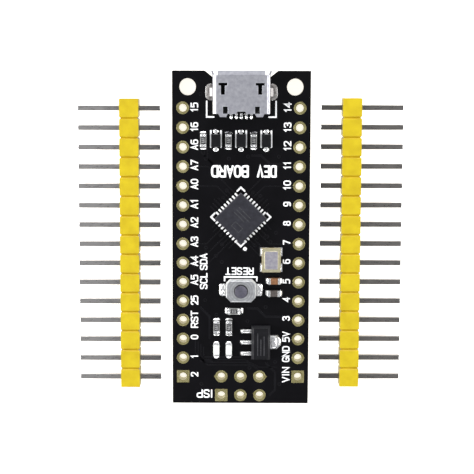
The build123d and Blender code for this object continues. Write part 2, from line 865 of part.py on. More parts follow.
for number, place in enumerate(resistor_places, start=1):
    with BuildPart() as resistor:
        with BuildSketch(chip_plane(place, core_height)):
            Rectangle(chip_length - 2 * cap_sheet, chip_width)
        extrude(amount=resistor_height - 2 * cap_sheet)
    resistor.part.label = f"resistor_{number}"
    export_step(resistor.part, f"parts/resistor_{number}.step")

resistor_caps = end_caps(resistor_places, resistor_height)
resistor_caps.part.label = "resistor_end_caps"
export_step(resistor_caps.part, "parts/resistor_end_caps.step")

with BuildPart() as resistor_coats:
    # dark glass over the resistive film, between the caps
    for place in resistor_places:
        with BuildSketch(chip_plane(place, chip_lift + resistor_height - cap_sheet)):
            Rectangle(chip_length - 2 * cap_length, chip_width - 2 * coat_margin)
        extrude(amount=cap_sheet)
resistor_coats.part.label = "resistor_coats"
export_step(resistor_coats.part, "parts/resistor_coats.step")

for number, place in enumerate(capacitor_places, start=1):
    with BuildPart() as capacitor:
        with BuildSketch(chip_plane(place, core_height)):
            Rectangle(chip_length - 2 * cap_sheet, chip_width)
        extrude(amount=capacitor_height - 2 * cap_sheet)
    capacitor.part.label = f"capacitor_{number}"
    export_step(capacitor.part, f"parts/capacitor_{number}.step")

capacitor_caps = end_caps(capacitor_places, capacitor_height)
capacitor_caps.part.label = "capacitor_end_caps"
export_step(capacitor_caps.part, "parts/capacitor_end_caps.step")

led_base_height = 0.24
led_terminal_length = 0.18
led_lens_size = (1.05, chip_width)
led_lens_crown = (0.89, chip_width - 0.06)

for number, place in enumerate(led_places, start=1):
    with BuildPart() as led_base:
        with BuildSketch(chip_plane(place, chip_lift)):
            Rectangle(chip_length - 2 * led_terminal_length, chip_width)
        extrude(amount=led_base_height)
    led_base.part.label = f"led_{number}_base"
    export_step(led_base.part, f"parts/led_{number}_base.step")
    with BuildPart() as led_lens:
        with BuildSketch(chip_plane(place, chip_lift + led_base_height)):
            Rectangle(*led_lens_size)
        with BuildSketch(chip_plane(place, chip_lift + led_height)):
            Rectangle(*led_lens_crown)
        loft()
    led_lens.part.label = f"led_{number}_lens"
    export_step(led_lens.part, f"parts/led_{number}_lens.step")

with BuildPart() as led_terminals:
    for place in led_places:
        with BuildSketch(chip_plane(place, chip_lift)):
            with GridLocations(chip_length - led_terminal_length, 0, 2, 1):
                Rectangle(led_terminal_length, chip_width)
        extrude(amount=led_base_height)
led_terminals.part.label = "led_terminals"
export_step(led_terminals.part, "parts/led_terminals.step")

resistor_solder = end_solder(resistor_places, resistor_solder_height)
resistor_solder.part.label = "resistor_solder"
export_step(resistor_solder.part, "parts/resistor_solder.step")

capacitor_solder = end_solder(capacitor_places, capacitor_solder_height)
capacitor_solder.part.label = "capacitor_solder"
export_step(capacitor_solder.part, "parts/capacitor_solder.step")

led_solder = end_solder(led_places, led_base_height)
led_solder.part.label = "led_solder"
export_step(led_solder.part, "parts/led_solder.step")

# ---------------------------------------------------------------------------- diodes

diode_lead_width = 0.36
diode_lead_sheet = 0.12
diode_foot_end = 1.3
diode_lead_rise = 0.5
diode_waist = 0.45
diode_lead_root = 0.25
diode_gap = 0.04
diode_draft = 0.05
diode_crown_draft = 0.08
diode_solder_foot = (0.75, 0.2)
diode_solder_crown = (diode_lead_width, 0.04)

with BuildPart() as diode_leads:
    for x, y in diode_places:
        for side in (-1, 1):
            foot_y = y + side * diode_foot_end
            bend_y = y + side * (diode_length / 2 + diode_lead_sheet)
            side_y = y + side * diode_length / 2
            root_y = y + side * (diode_length / 2 - diode_lead_root)
            with BuildSketch(Plane.YZ.offset(x - diode_lead_width / 2)):
                with BuildLine():
                    Polyline(
                        (foot_y, board_top),
                        (foot_y, board_top + diode_lead_sheet),
                        (bend_y, board_top + diode_lead_sheet),
                        (bend_y, board_top + diode_lead_rise),
                        (root_y, board_top + diode_lead_rise),
                        (root_y, board_top + diode_lead_rise - diode_lead_sheet),
                        (side_y, board_top + diode_lead_rise - diode_lead_sheet),
                        (side_y, board_top),
                        close=True,
                    )
                make_face()
            extrude(amount=diode_lead_width)
diode_leads.part.label = "diode_leads"
export_step(diode_leads.part, "parts/diode_leads.step")

for number, (x, y) in enumerate(diode_places, start=1):
    diode_plane = Plane(origin=(x, y, board_top))
    with BuildPart() as diode:
        with BuildSketch(diode_plane.offset(diode_gap)):
            Rectangle(diode_width - 2 * diode_draft, diode_length - 2 * diode_draft)
        with BuildSketch(diode_plane.offset(diode_waist)):
            Rectangle(diode_width, diode_length)
        loft()
        with BuildSketch(diode_plane.offset(diode_waist)):
            Rectangle(diode_width, diode_length)
        with BuildSketch(diode_plane.offset(diode_height)):
            Rectangle(diode_width - 2 * diode_crown_draft, diode_length - 2 * diode_crown_draft)
        loft()
        add(diode_leads.part, mode=Mode.SUBTRACT)
    diode.part.label = f"diode_{number}"
    export_step(diode.part, f"parts/diode_{number}.step")

with BuildPart() as diode_solder:
    for x, y in diode_places:
        for side in (-1, 1):
            foot = (x, y + side * diode_foot_end)
            outward = (Align.CENTER, Align.MIN if side > 0 else Align.MAX)
            with BuildSketch(Plane.XY.offset(board_top)):
                with Locations(foot):
                    Rectangle(*diode_solder_foot, align=outward)
            with BuildSketch(Plane.XY.offset(board_top + diode_lead_sheet)):
                with Locations(foot):
                    Rectangle(*diode_solder_crown, align=outward)
            loft()
diode_solder.part.label = "diode_solder"
export_step(diode_solder.part, "parts/diode_solder.step")

# ----------------------------------------------------------------- loose pin headers

header_length = pins_per_row * pitch - header_end_gap
pin_height = header_height / 2


def header_pins(middle_x, middle_y, outward):
    """Fifteen square pins lying across the strip, long ends pointing outward."""
    long_end = middle_x + outward * (header_width / 2 + pin_long_side)
    short_end = middle_x - outward * (header_width / 2 + pin_short_side)
    with BuildPart() as pins:
        with Locations(((long_end + short_end) / 2, middle_y, pin_height)):
            with GridLocations(0, pitch, 1, pins_per_row):
                Box(pin_long_side + header_width + pin_short_side, pin_size, pin_size)
        tips = pins.faces().filter_by(Axis.X).edges()
        chamfer(tips, length=pin_size / 4, length2=pin_point, reference=None)
    return pins


def header_strip(middle_x, middle_y, pins):
    """Plastic strip with a snap groove all round between neighbouring pins."""
    with BuildPart() as strip:
        with BuildSketch():
            with Locations((middle_x, middle_y)):
                Rectangle(header_width, header_length)
            # grooves in the two sides that the pins come out of
            with Locations((middle_x, middle_y)):
                with GridLocations(header_width, pitch, 2, pins_per_row - 1):
                    Rectangle(header_groove, header_groove, rotation=45, mode=Mode.SUBTRACT)
        extrude(amount=header_height)
        # grooves in the top and the underside
        with BuildSketch(Plane.YZ.offset(middle_x - header_width / 2)):
            with Locations((middle_y, header_height / 2)):
                with GridLocations(pitch, header_height, pins_per_row - 1, 2):
                    Rectangle(header_groove, header_groove, rotation=45)
        extrude(amount=header_width, mode=Mode.SUBTRACT)
        add(pins.part, mode=Mode.SUBTRACT)
    return strip


header_left_pins = header_pins(header_left_x, header_left_y, outward=-1)
header_left_pins.part.label = "header_left_pins"
export_step(header_left_pins.part, "parts/header_left_pins.step")

header_left_strip = header_strip(header_left_x, header_left_y, header_left_pins)
header_left_strip.part.label = "header_left_strip"
export_step(header_left_strip.part, "parts/header_left_strip.step")

header_right_pins = header_pins(header_right_x, header_right_y, outward=1)
header_right_pins.part.label = "header_right_pins"
export_step(header_right_pins.part, "parts/header_right_pins.step")

header_right_strip = header_strip(header_right_x, header_right_y, header_right_pins)
header_right_strip.part.label = "header_right_strip"
export_step(header_right_strip.part, "parts/header_right_strip.step")
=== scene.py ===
import math

import bmesh
import bpy
from mathutils import Matrix, Vector, noise


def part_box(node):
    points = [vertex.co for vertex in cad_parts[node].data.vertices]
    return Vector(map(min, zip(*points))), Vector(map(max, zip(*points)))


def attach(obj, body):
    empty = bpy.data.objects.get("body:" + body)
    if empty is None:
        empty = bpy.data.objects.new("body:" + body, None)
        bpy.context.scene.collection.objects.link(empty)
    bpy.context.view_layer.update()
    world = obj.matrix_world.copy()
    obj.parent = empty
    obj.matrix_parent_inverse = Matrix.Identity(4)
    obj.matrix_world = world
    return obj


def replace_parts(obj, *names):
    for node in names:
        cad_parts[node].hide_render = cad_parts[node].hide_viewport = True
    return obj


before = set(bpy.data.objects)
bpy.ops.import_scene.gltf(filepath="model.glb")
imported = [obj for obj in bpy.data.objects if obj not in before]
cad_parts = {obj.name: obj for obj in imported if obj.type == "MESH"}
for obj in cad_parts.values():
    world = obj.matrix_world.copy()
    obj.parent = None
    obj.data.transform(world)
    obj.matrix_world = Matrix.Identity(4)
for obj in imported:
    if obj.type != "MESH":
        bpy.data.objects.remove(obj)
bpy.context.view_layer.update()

MM = 0.001
BOARD = "board"

# ------------------------------------------------------------------ places from the frame

pcb_low, pcb_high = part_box("pcb")
board_top = pcb_high.z
board_under = pcb_low.z
pad_left_x = sum(c.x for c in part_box("pads_left")) / 2
pad_right_x = sum(c.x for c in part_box("pads_right")) / 2
pitch = 2.54 * MM
pads_low, pads_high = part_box("pads_left")
pad_size = pads_high.x - pads_low.x
first_pin_y = pads_high.y - pad_size / 2
pin_count = 15
pin_ys = [first_pin_y - i * pitch for i in range(pin_count)]
ink = 0.018 * MM  # thickness of the printed legend


def middle(node):
    """Centre of a CAD node's box."""
    low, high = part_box(node)
    return (low + high) / 2


# ------------------------------------------------------------------------ mesh helpers


def new_piece(name, mesh_maker, material, smooth=None):
    """Turns what mesh_maker draws in a bmesh into a piece that rides on the board."""
    bm = bmesh.new()
    mesh_maker(bm)
    bmesh.ops.recalc_face_normals(bm, faces=bm.faces)
    mesh = bpy.data.meshes.new(name)
    bm.to_mesh(mesh)
    bm.free()
    piece = bpy.data.objects.new(name, mesh)
    bpy.context.scene.collection.objects.link(piece)
    mesh.materials.append(material)
    if smooth is not None:
        mesh.shade_smooth()
        mesh.set_sharp_from_angle(angle=math.radians(smooth))
    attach(piece, BOARD)
    return piece


def stitch(bm, lower, upper):
    """Wall of quads between two loops with equally many points."""
    count = len(lower)
    for i in range(count):
        j = (i + 1) % count
        bm.faces.new((lower[i], lower[j], upper[j], upper[i]))


def skin(bm, loops):
    """Closed surface over a stack of loops, from the lowest to the highest."""
    for lower, upper in zip(loops, loops[1:]):
        stitch(bm, lower, upper)
    bm.faces.new(loops[-1])
    bm.faces.new(list(reversed(loops[0])))


def circle_points(centre, radius, steps):
    """Plan points of a circle."""
    turns = [2 * math.pi * i / steps for i in range(steps)]
    return [(centre[0] + radius * math.cos(a), centre[1] + radius * math.sin(a)) for a in turns]


def rectangle(low_x, low_y, high_x, high_y):
    """Plan points of a rectangle."""
    return [(low_x, low_y), (high_x, low_y), (high_x, high_y), (low_x, high_y)]


def toward(way):
    """Plan direction at an angle from X."""
    return Vector((math.cos(way), math.sin(way)))


def prism(bm, outline, low, high, inset=0.0):
    """Closed prism over a plan outline; its upper rim is drawn in by inset."""
    centre = Vector((sum(p[0] for p in outline), sum(p[1] for p in outline))) / len(outline)
    lower, upper = [], []
    for x, y in outline:
        lower.append(bm.verts.new((x, y, low)))
        pull = (centre - Vector((x, y))).normalized() * inset
        upper.append(bm.verts.new((x + pull.x, y + pull.y, high)))
    skin(bm, [lower, upper])


def ribbon(bm, points, width, low, high, closed=False):
    """Flat raised line of even width along a plan path, with round ends and mitred corners."""
    cap_steps = 4
    path = [Vector(p) for p in points]
    count = len(path)
    half = width / 2
    lefts, rights = [], []
    for i, here in enumerate(path):
        before = path[i - 1] if i > 0 or closed else None
        after = path[(i + 1) % count] if i < count - 1 or closed else None
        go_in = (here - before).normalized() if before is not None else (after - here).normalized()
        go_out = (after - here).normalized() if after is not None else go_in
        along = (go_in + go_out).normalized()
        side = Vector((-along.y, along.x))
        stretch = 1 / max(0.45, side.dot(Vector((-go_in.y, go_in.x))))
        lefts.append(here + side * half * stretch)
        rights.append(here - side * half * stretch)
    if closed:
        walls = [
            [(bm.verts.new((p.x, p.y, low)), bm.verts.new((p.x, p.y, high))) for p in edge]
            for edge in (lefts, rights)
        ]
        for i in range(count):
            j = (i + 1) % count
            (l0, l1), (r0, r1) = [(wall[i], wall[j]) for wall in walls]
            bm.faces.new((l0[1], r0[1], r1[1], l1[1]))
            bm.faces.new((l0[0], l1[0], r1[0], r0[0]))
            bm.faces.new((l0[0], l0[1], l1[1], l1[0]))
            bm.faces.new((r0[0], r1[0], r1[1], r0[1]))
        return
    outline = list(lefts)
    outline += round_cap(path[-1], path[-1] - path[-2], half, cap_steps)
    outline += list(reversed(rights))
    outline += round_cap(path[0], path[0] - path[1], half, cap_steps)
    lower = [bm.verts.new((p.x, p.y, low)) for p in outline]
    upper = [bm.verts.new((p.x, p.y, high)) for p in outline]
    total = len(outline)
    stitch(bm, lower, upper)
    # each end cap is one face, and each run between two points is a quad
    for verts, flip in ((upper, False), (lower, True)):
        end_cap = verts[count - 1 : count + cap_steps + 1]
        start_cap = verts[total - cap_steps - 1 :] + verts[:1]
        faces = [end_cap, start_cap]
        for i in range(count - 1):
            far = total - cap_steps - 1 - i
            faces.append([verts[i], verts[i + 1], verts[far - 1], verts[far]])
        for face in faces:
            bm.faces.new(list(reversed(face)) if flip else face)


def round_cap(tip, heading, half, steps):
    """Points of a half circle round a ribbon's end, from its left side to its right side."""
    start = math.atan2(heading.y, heading.x) + math.pi / 2
    turns = [start - math.pi * (i + 1) / (steps + 1) for i in range(steps)]
    return [tip + toward(a) * half for a in turns]


def ring(bm, centre, outer, inner, low, high):
    """Flat raised ring, such as a via's rim."""
    steps = 24
    sections = ((outer, low), (outer * 0.96, high), (inner, high), (inner, low))
    loops = []
    for radius, height in sections:
        loops.append([bm.verts.new((x, y, height)) for x, y in circle_points(centre, radius, steps)])
    for k, loop in enumerate(loops):
        stitch(bm, loop, loops[(k + 1) % len(loops)])


def disc(bm, centre, radius, low, high):
    """Flat round dot."""
    steps = 20
    prism(bm, circle_points(centre, radius, steps), low, high, inset=(high - low) * 0.5)


def dome(bm, centre, length, width, heading, low, height, square=1.0, seed=0, rough=0.0):
    """Bead of solder: an upper half ellipsoid stretched to a capsule along its heading."""
    around, levels = 20, 5
    spin = Matrix.Rotation(heading, 2)
    stretch = max(0.0, (length - width) / 2)
    loops = []
    for level in range(levels):
        tilt = math.pi / 2 * level / levels
        loop = []
        for i in range(around):
            turn = 2 * math.pi * (i + 0.5) / around
            cosine, sine = math.cos(turn), math.sin(turn)
            x = math.copysign(abs(cosine) ** square, cosine) * math.cos(tilt) * min(length, width) / 2
            y = math.copysign(abs(sine) ** square, sine) * math.cos(tilt) * width / 2
            x += math.copysign(stretch, x)
            place = spin @ Vector((x, y))
            rise = height * math.sin(tilt)
            if rough and level:
                rise *= 1 + rough * noise.noise(Vector((place.x / MM * 3, place.y / MM * 3, seed)))
            loop.append(bm.verts.new((centre[0] + place.x, centre[1] + place.y, low + rise)))
        loops.append(loop)
    skin(bm, loops)


def fillet_bead(bm, root, heading, foot, crown, low, height, belly=0.0, square=0.6):
    """Solder fillet against an upright face: foot and crown are (reach, width) outlines.

    root is the middle of the face's lower edge, and heading the way that the fillet faces.
    belly above 0 makes the fillet bulge outward instead of hollowing.
    """
    steps, levels = 12, 6
    spin = Matrix.Rotation(heading, 2)
    loops = []
    for level in range(levels + 1):
        t = level / levels
        ease = t ** (1.8 if belly > 0 else 0.6)
        reach = foot[0] + (crown[0] - foot[0]) * ease
        half = (foot[1] + (crown[1] - foot[1]) * ease) / 2
        loop = []
        for i in range(steps + 1):
            turn = math.pi * (i / steps - 0.5)
            x = reach * abs(math.cos(turn)) ** square
            y = half * math.copysign(abs(math.sin(turn)) ** square, turn)
            place = spin @ Vector((x, y))
            loop.append(bm.verts.new((root[0] + place.x, root[1] + place.y, low + height * t)))
        loops.append(loop)
    skin(bm, loops)


# --------------------------------------------------------------------------- materials


def feed(tree, node, inputs):
    """Sets inputs of a node, by name or place, to values or to the sockets they are linked from."""
    for key, value in inputs.items():
        if isinstance(value, bpy.types.NodeSocket):
            tree.links.new(value, node.inputs[key])
        else:
            node.inputs[key].default_value = value


def node_of(tree, kind, inputs, operation=None):
    """New shader node with its inputs set."""
    node = tree.nodes.new("ShaderNode" + kind)
    if operation:
        node.operation = operation
    feed(tree, node, inputs)
    return node


def shader(name):
    """New node material; returns it with its node tree and coordinates in mm."""
    material = bpy.data.materials.new(name)
    material.use_nodes = True
    tree = material.node_tree
    places = node_of(tree, "TexCoord", {}).outputs["Object"]
    scale = node_of(tree, "VectorMath", {0: places, "Scale": 1 / MM}, "SCALE")
    return material, tree, scale.outputs["Vector"]


def look_of(tree, **inputs):
    """Sets inputs of the material's principled node; words of a name are joined by underscores."""
    names = {name.replace("_", " "): value for name, value in inputs.items()}
    feed(tree, tree.nodes["Principled BSDF"], names)


def noise_of(tree, coords, scale, detail=3.0, roughness=0.55):
    """Noise value, scale in waves per mm."""
    inputs = {"Vector": coords, "Scale": scale, "Detail": detail, "Roughness": roughness}
    return node_of(tree, "TexNoise", inputs).outputs["Fac"]


def ramp_of(tree, value, stops):
    """Colour ramp; stops are (place, colour)."""
    node = node_of(tree, "ValToRGB", {"Fac": value})
    for element, (place, colour) in zip(node.color_ramp.elements, stops):
        element.position = place
        element.color = (*colour, 1.0)
    return node.outputs["Color"]


def spread_of(tree, value, low, high):
    """Maps a 0..1 noise value to low..high."""
    inputs = {"Value": value, "From Min": 0.25, "From Max": 0.75, "To Min": low, "To Max": high}
    return node_of(tree, "MapRange", inputs).outputs["Result"]


def math_of(tree, operation, *values):
    """Math node over numbers and sockets."""
    return node_of(tree, "Math", dict(enumerate(values)), operation).outputs[0]


def axis_of(tree, vector, axis):
    """One component of a vector socket."""
    return node_of(tree, "SeparateXYZ", {"Vector": vector}).outputs[axis]


def facing_of(tree, axis="Z"):
    """How much the true surface faces along an axis: 1 on top faces for Z, 0 on walls."""
    return axis_of(tree, node_of(tree, "NewGeometry", {}).outputs["True Normal"], axis)


def vector_of(tree, operation, vector, other):
    """Vector math node over a vector socket and a fixed vector."""
    return node_of(tree, "VectorMath", {0: vector, 1: other}, operation).outputs["Vector"]


def mix_of(tree, factor, first, second, blend="MIX"):
    """Colour mix; first is a socket, and second is a socket or a colour."""
    node = tree.nodes.new("ShaderNodeMix")
    node.data_type = "RGBA"
    node.blend_type = blend
    feed(tree, node, {"Factor": factor, "A": first, "B": second})
    return node.outputs["Result"]


def tint_where(tree, mask, colour, blend="MIX"):
    """Mixes a colour into the material's base colour where mask is 1."""
    target = tree.nodes["Principled BSDF"].inputs["Base Color"]
    tree.links.new(mix_of(tree, mask, target.links[0].from_socket, (*colour, 1.0), blend), target)


def shade_where(tree, mask, share):
    """Multiplies the base colour by share where mask is 1."""
    tint_where(tree, mask, (share, share, share), "MULTIPLY")


def shade_walls(material, steepness, share):
    """Darkens the faces that are steeper than the limit."""
    tree = material.node_tree
    level = math_of(tree, "ABSOLUTE", facing_of(tree))
    shade_where(tree, math_of(tree, "LESS_THAN", level, steepness), share)


def bump_of(tree, height, distance, edge=0.0):
    """Normal with a bump from a height value over softened edges; distance and edge in mm."""
    inputs = {"Distance": distance * MM, "Strength": 1.0, "Height": height}
    if edge:
        soft = node_of(tree, "Bevel", {"Radius": edge * MM})
        soft.samples = 4
        inputs["Normal"] = soft.outputs["Normal"]
    return node_of(tree, "Bump", inputs).outputs["Normal"]


def surface(name, dark, light, rough, metal=0.0, grain=2.0, fine=14.0, relief=0.01, specular=0.5, edge=0.0):
    """Material whose colour drifts between two tones, with fine roughness and bump grain.

    grain and fine are in waves per mm; relief and the rounding of edges are in mm.
    """
    material, tree, coords = shader(name)
    tone = noise_of(tree, coords, grain)
    speck = noise_of(tree, coords, fine, detail=4.0, roughness=0.65)
    look_of(
        tree,
        Base_Color=ramp_of(tree, tone, [(0.3, dark), (0.7, light)]),
        Roughness=spread_of(tree, speck, *rough),
        Metallic=metal,
        Specular_IOR_Level=specular,
        Normal=bump_of(tree, speck, relief, edge),
    )
    return material


def tree_of(material):
    """Node tree of a surface, and its coordinates in mm."""
    tree = material.node_tree
    return tree, tree.nodes["Vector Math"].outputs["Vector"]


def board_material():
    """Black solder mask on the faces; sawn glass-fibre edges."""
    material, tree, coords = shader("black_mask")
    normal = node_of(tree, "NewGeometry", {}).outputs["Normal"]
    is_face = math_of(tree, "GREATER_THAN", math_of(tree, "ABSOLUTE", axis_of(tree, normal, "Z")), 0.5)
    cloud = noise_of(tree, coords, 0.35, detail=4.0)
    mask = ramp_of(tree, cloud, [(0.3, (0.0018, 0.0017, 0.0023)), (0.7, (0.0032, 0.003, 0.004))])
    inputs = {"Vector": coords, "Scale": 1.6, "Distortion": 1.5, "Detail": 3.0, "Detail Scale": 3.0}
    layers = node_of(tree, "TexWave", inputs)
    layers.bands_direction = "Z"
    sawn = [(0.2, (0.035, 0.032, 0.022)), (0.8, (0.075, 0.068, 0.045))]
    laminate = ramp_of(tree, layers.outputs["Fac"], sawn)
    speck = noise_of(tree, coords, 9.0, detail=5.0, roughness=0.6)
    sawn_rough = 0.75
    mask_rough = math_of(tree, "SUBTRACT", spread_of(tree, speck, 0.28, 0.4), sawn_rough)
    look_of(
        tree,
        Base_Color=mix_of(tree, is_face, laminate, mask),
        Roughness=math_of(tree, "ADD", math_of(tree, "MULTIPLY", is_face, mask_rough), sawn_rough),
        Specular_IOR_Level=0.1,
        Normal=bump_of(tree, speck, 0.006),
    )
    return material


trace_black = surface(
    "black_mask_over_copper", (0.003, 0.0028, 0.0038), (0.0056, 0.0054, 0.007), (0.3, 0.42), grain=0.6,
    relief=0.004, specular=0.15
)
ink_white = surface(
    "white_ink", (0.86, 0.86, 0.87), (0.95, 0.95, 0.95), (0.5, 0.7), grain=3.0, fine=20.0, relief=0.006
)
print_grey = surface("grey_print", (0.3, 0.3, 0.3), (0.5, 0.5, 0.5), (0.5, 0.7), grain=5.0)
mark_grey = surface(
    "etched_mark", (0.025, 0.025, 0.029), (0.055, 0.055, 0.06), (0.6, 0.8), grain=6.0, specular=0.2
)
gold = surface(
    "pale_gold", (0.37, 0.325, 0.135), (0.6, 0.54, 0.27), (0.2, 0.36), metal=1.0, grain=1.5, fine=18.0,
    relief=0.004, edge=0.04
)
# painted shade: the walls of the pad holes are darkened
shade_walls(gold, 0.4, 0.72)
tin = surface(
    "tin_plate", (0.66, 0.66, 0.66), (0.84, 0.84, 0.83), (0.2, 0.38), metal=1.0, grain=3.0, fine=16.0,
    edge=0.04
)
solder = surface(
    "solder", (0.72, 0.72, 0.72), (0.94, 0.94, 0.93), (0.1, 0.3), metal=1.0, grain=2.4, fine=7.0,
    relief=0.03
)
satin_solder = surface(
    "satin_solder", (0.9, 0.9, 0.9), (0.98, 0.98, 0.97), (0.45, 0.65), metal=0.75, grain=4.0, fine=9.0
)
dull_solder = surface(
    "dull_solder", (0.13, 0.12, 0.117), (0.36, 0.345, 0.335), (0.5, 0.75), metal=1.0, grain=2.8, fine=5.0,
    relief=0.06
)
lid_steel = surface(
    "lid_steel", (0.47, 0.445, 0.53), (0.68, 0.66, 0.69), (0.28, 0.44), metal=1.0, grain=2.6, fine=10.0,
    relief=0.008
)
epoxy = surface(
    "chip_epoxy", (0.01, 0.01, 0.0145), (0.02, 0.02, 0.027), (0.4, 0.6), grain=1.6, fine=26.0,
    edge=0.04, specular=0.3
)
matte_epoxy = surface(
    "matte_epoxy", (0.005, 0.005, 0.006), (0.0095, 0.0095, 0.011), (0.42, 0.62), grain=1.6, fine=26.0,
    edge=0.06, specular=0.09
)
socket_plastic = surface(
    "socket_plastic", (0.003, 0.003, 0.003), (0.006, 0.006, 0.006), (0.5, 0.7), specular=0.1
)
silicon = surface("silicon", (0.04, 0.045, 0.06), (0.07, 0.075, 0.09), (0.1, 0.2), metal=0.6)
crystal_ceramic = surface(
    "crystal_ceramic", (0.3, 0.25, 0.15), (0.42, 0.36, 0.22), (0.5, 0.7), fine=22.0, edge=0.03
)
ring_gold = surface(
    "ring_gold", (0.66, 0.6, 0.38), (0.82, 0.77, 0.54), (0.25, 0.42), metal=1.0, grain=3.0
)
quartz = surface("quartz", (0.8, 0.83, 0.85), (0.9, 0.92, 0.93), (0.05, 0.12))
key_plastic = surface("key_plastic", (0.55, 0.55, 0.53), (0.7, 0.7, 0.68), (0.45, 0.65), fine=22.0, edge=0.05)
alumina = surface("alumina", (0.2, 0.2, 0.195), (0.34, 0.34, 0.33), (0.5, 0.65), fine=24.0)
resistor_glass = surface(
    "resistor_glass", (0.01, 0.01, 0.0105), (0.07, 0.07, 0.073), (0.25, 0.45), grain=3.4, fine=9.0,
    specular=0.3
)
tan_ceramic = surface(
    "tan_ceramic", (0.15, 0.066, 0.028), (0.235, 0.108, 0.05), (0.3, 0.5), grain=3.5, fine=18.0,
    specular=0.35, edge=0.05
)
grey_ceramic = surface(
    "grey_ceramic", (0.05, 0.042, 0.039), (0.09, 0.077, 0.071), (0.3, 0.5), grain=3.5, fine=18.0,
    specular=0.35, edge=0.05
)
led_white = surface("led_body", (0.74, 0.77, 0.73), (0.88, 0.89, 0.86), (0.3, 0.5), edge=0.05)


def socket_steel_material():
    """Tinned sheet: satin outside, in deep shade inside, and dull with solder on the legs."""
    material = surface(
        "socket_steel", (0.46, 0.46, 0.51), (0.62, 0.62, 0.66), (0.28, 0.46), metal=1.0, grain=2.2,
        fine=9.0, relief=0.012, edge=0.06
    )
    tree, coords = tree_of(material)
    across = math_of(tree, "ABSOLUTE", axis_of(tree, coords, "X"))
    height = axis_of(tree, coords, "Z")
    low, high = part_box("usb_insulator")
    inside_x = math_of(tree, "LESS_THAN", across, high.x / MM + 0.03)
    inside_z = math_of(tree, "LESS_THAN", height, high.z / MM + 0.2)
    inside_y = math_of(tree, "GREATER_THAN", axis_of(tree, coords, "Y"), low.y / MM - 0.05)
    inside = math_of(tree, "MULTIPLY", math_of(tree, "MULTIPLY", inside_x, inside_z), inside_y)
    tint_where(tree, inside, (0.006, 0.006, 0.007))
    beside_shell = math_of(tree, "GREATER_THAN", across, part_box("usb_shell")[1].x / MM - 0.36)
    low_down = math_of(tree, "LESS_THAN", height, board_top / MM + 1.6)
    tint_where(tree, math_of(tree, "MULTIPLY", beside_shell, low_down), (0.2, 0.19, 0.187))
    return material


def contact_material():
    """Gold contacts inside the socket; their tails outside are tinned."""
    material = surface(
        "contact_gold", (0.7, 0.5, 0.22), (0.86, 0.65, 0.32), (0.15, 0.25), metal=1.0, edge=0.03
    )
    tree, coords = tree_of(material)
    tails_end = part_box("usb_insulator")[0].y / MM + 0.3
    tint_where(tree, math_of(tree, "LESS_THAN", axis_of(tree, coords, "Y"), tails_end), (0.85, 0.85, 0.84))
    return material


def key_steel_material():
    """Stamped cover with faint darker rings round the plunger."""
    material = surface(
        "key_steel", (0.53, 0.54, 0.55), (0.77, 0.78, 0.79), (0.24, 0.44), metal=1.0, grain=2.5,
        fine=12.0, relief=0.01, edge=0.05
    )
    tree, coords = tree_of(material)
    centred = vector_of(tree, "SUBTRACT", coords, middle("reset_plunger") / MM)
    inputs = {"Vector": centred, "Scale": 0.95, "Distortion": 1.2, "Detail": 2.0}
    rings = node_of(tree, "TexWave", inputs)
    rings.wave_type = "RINGS"
    rings.rings_direction = "Z"
    tint_where(tree, math_of(tree, "MULTIPLY", rings.outputs["Fac"], 0.45), (0.36, 0.36, 0.37))
    return material


def header_material(name, strip):
    """Yellow moulding, with painted shade in the snap grooves and on its side walls."""
    material = surface(
        name, (0.44, 0.32, 0.003), (0.52, 0.395, 0.006), (0.32, 0.5), grain=0.7, fine=9.0, relief=0.012,
        specular=0.36, edge=0.06
    )
    tree, coords = tree_of(material)
    steps = math_of(tree, "SUBTRACT", axis_of(tree, coords, "Y"), middle(strip).y / MM)
    steps = math_of(tree, "DIVIDE", steps, pitch / MM)
    # pins stand at whole steps from the middle, so the grooves lie half-way between
    groove = math_of(tree, "ABSOLUTE", math_of(tree, "SUBTRACT", math_of(tree, "FRACT", steps), 0.5))
    # painted shade: the grooves are tinted deeper
    tint_where(tree, math_of(tree, "LESS_THAN", groove, 0.062), (1.0, 0.9, 0.45), "MULTIPLY")
    # painted shade on the side walls that face along X
    sideways = math_of(tree, "ABSOLUTE", facing_of(tree, "X"))
    shade_where(tree, math_of(tree, "GREATER_THAN", sideways, 0.6), 0.36)
    return material


def pin_material(name, pins, inner_tone, outer_tone, warm):
    """Tinned pins with drawing marks along them, darker towards the board; their dark tones are painted shade
    for the dark reflection that they show, and their points carry a painted highlight.
    """
    material, tree, coords = shader(name)
    low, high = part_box(pins)
    near, far = sorted((low.x / MM, high.x / MM), key=abs)
    along = axis_of(tree, coords, "X")
    run = node_of(tree, "MapRange", {"Value": along, "From Min": near, "From Max": far})
    drawn = noise_of(tree, vector_of(tree, "MULTIPLY", coords, (0.3, 1.6, 1.0)), 3.0, detail=4.0)
    tone = math_of(tree, "ADD", run.outputs["Result"], math_of(tree, "MULTIPLY", drawn, 0.5))
    inner = tuple(inner_tone * w for w in warm)
    outer = tuple(outer_tone * w for w in warm)
    look_of(
        tree,
        Base_Color=ramp_of(tree, tone, [(0.2, inner), (1.0, outer)]),
        Roughness=spread_of(tree, drawn, 0.22, 0.4),
        Metallic=1.0,
        Normal=bump_of(tree, drawn, 0.012, 0.06),
    )
    point_length = 0.34
    reach = math_of(tree, "ABSOLUTE", along)
    outer_point = math_of(tree, "GREATER_THAN", reach, abs(far) - point_length)
    inner_point = math_of(tree, "LESS_THAN", reach, abs(near) + point_length)
    # painted highlight: the points of the pins are tinted near white
    tint_where(tree, math_of(tree, "ADD", outer_point, inner_point), (0.95, 0.95, 0.94))
    return material


def paint_slope_sheen(material, colour):
    """Lightens the slanted walls of a part: a painted sheen where they catch the light."""
    tree = material.node_tree
    facing = facing_of(tree)
    off_top = math_of(tree, "LESS_THAN", facing, 0.96)
    off_wall = math_of(tree, "GREATER_THAN", facing, 0.08)
    tint_where(tree, math_of(tree, "MULTIPLY", off_top, off_wall), colour)
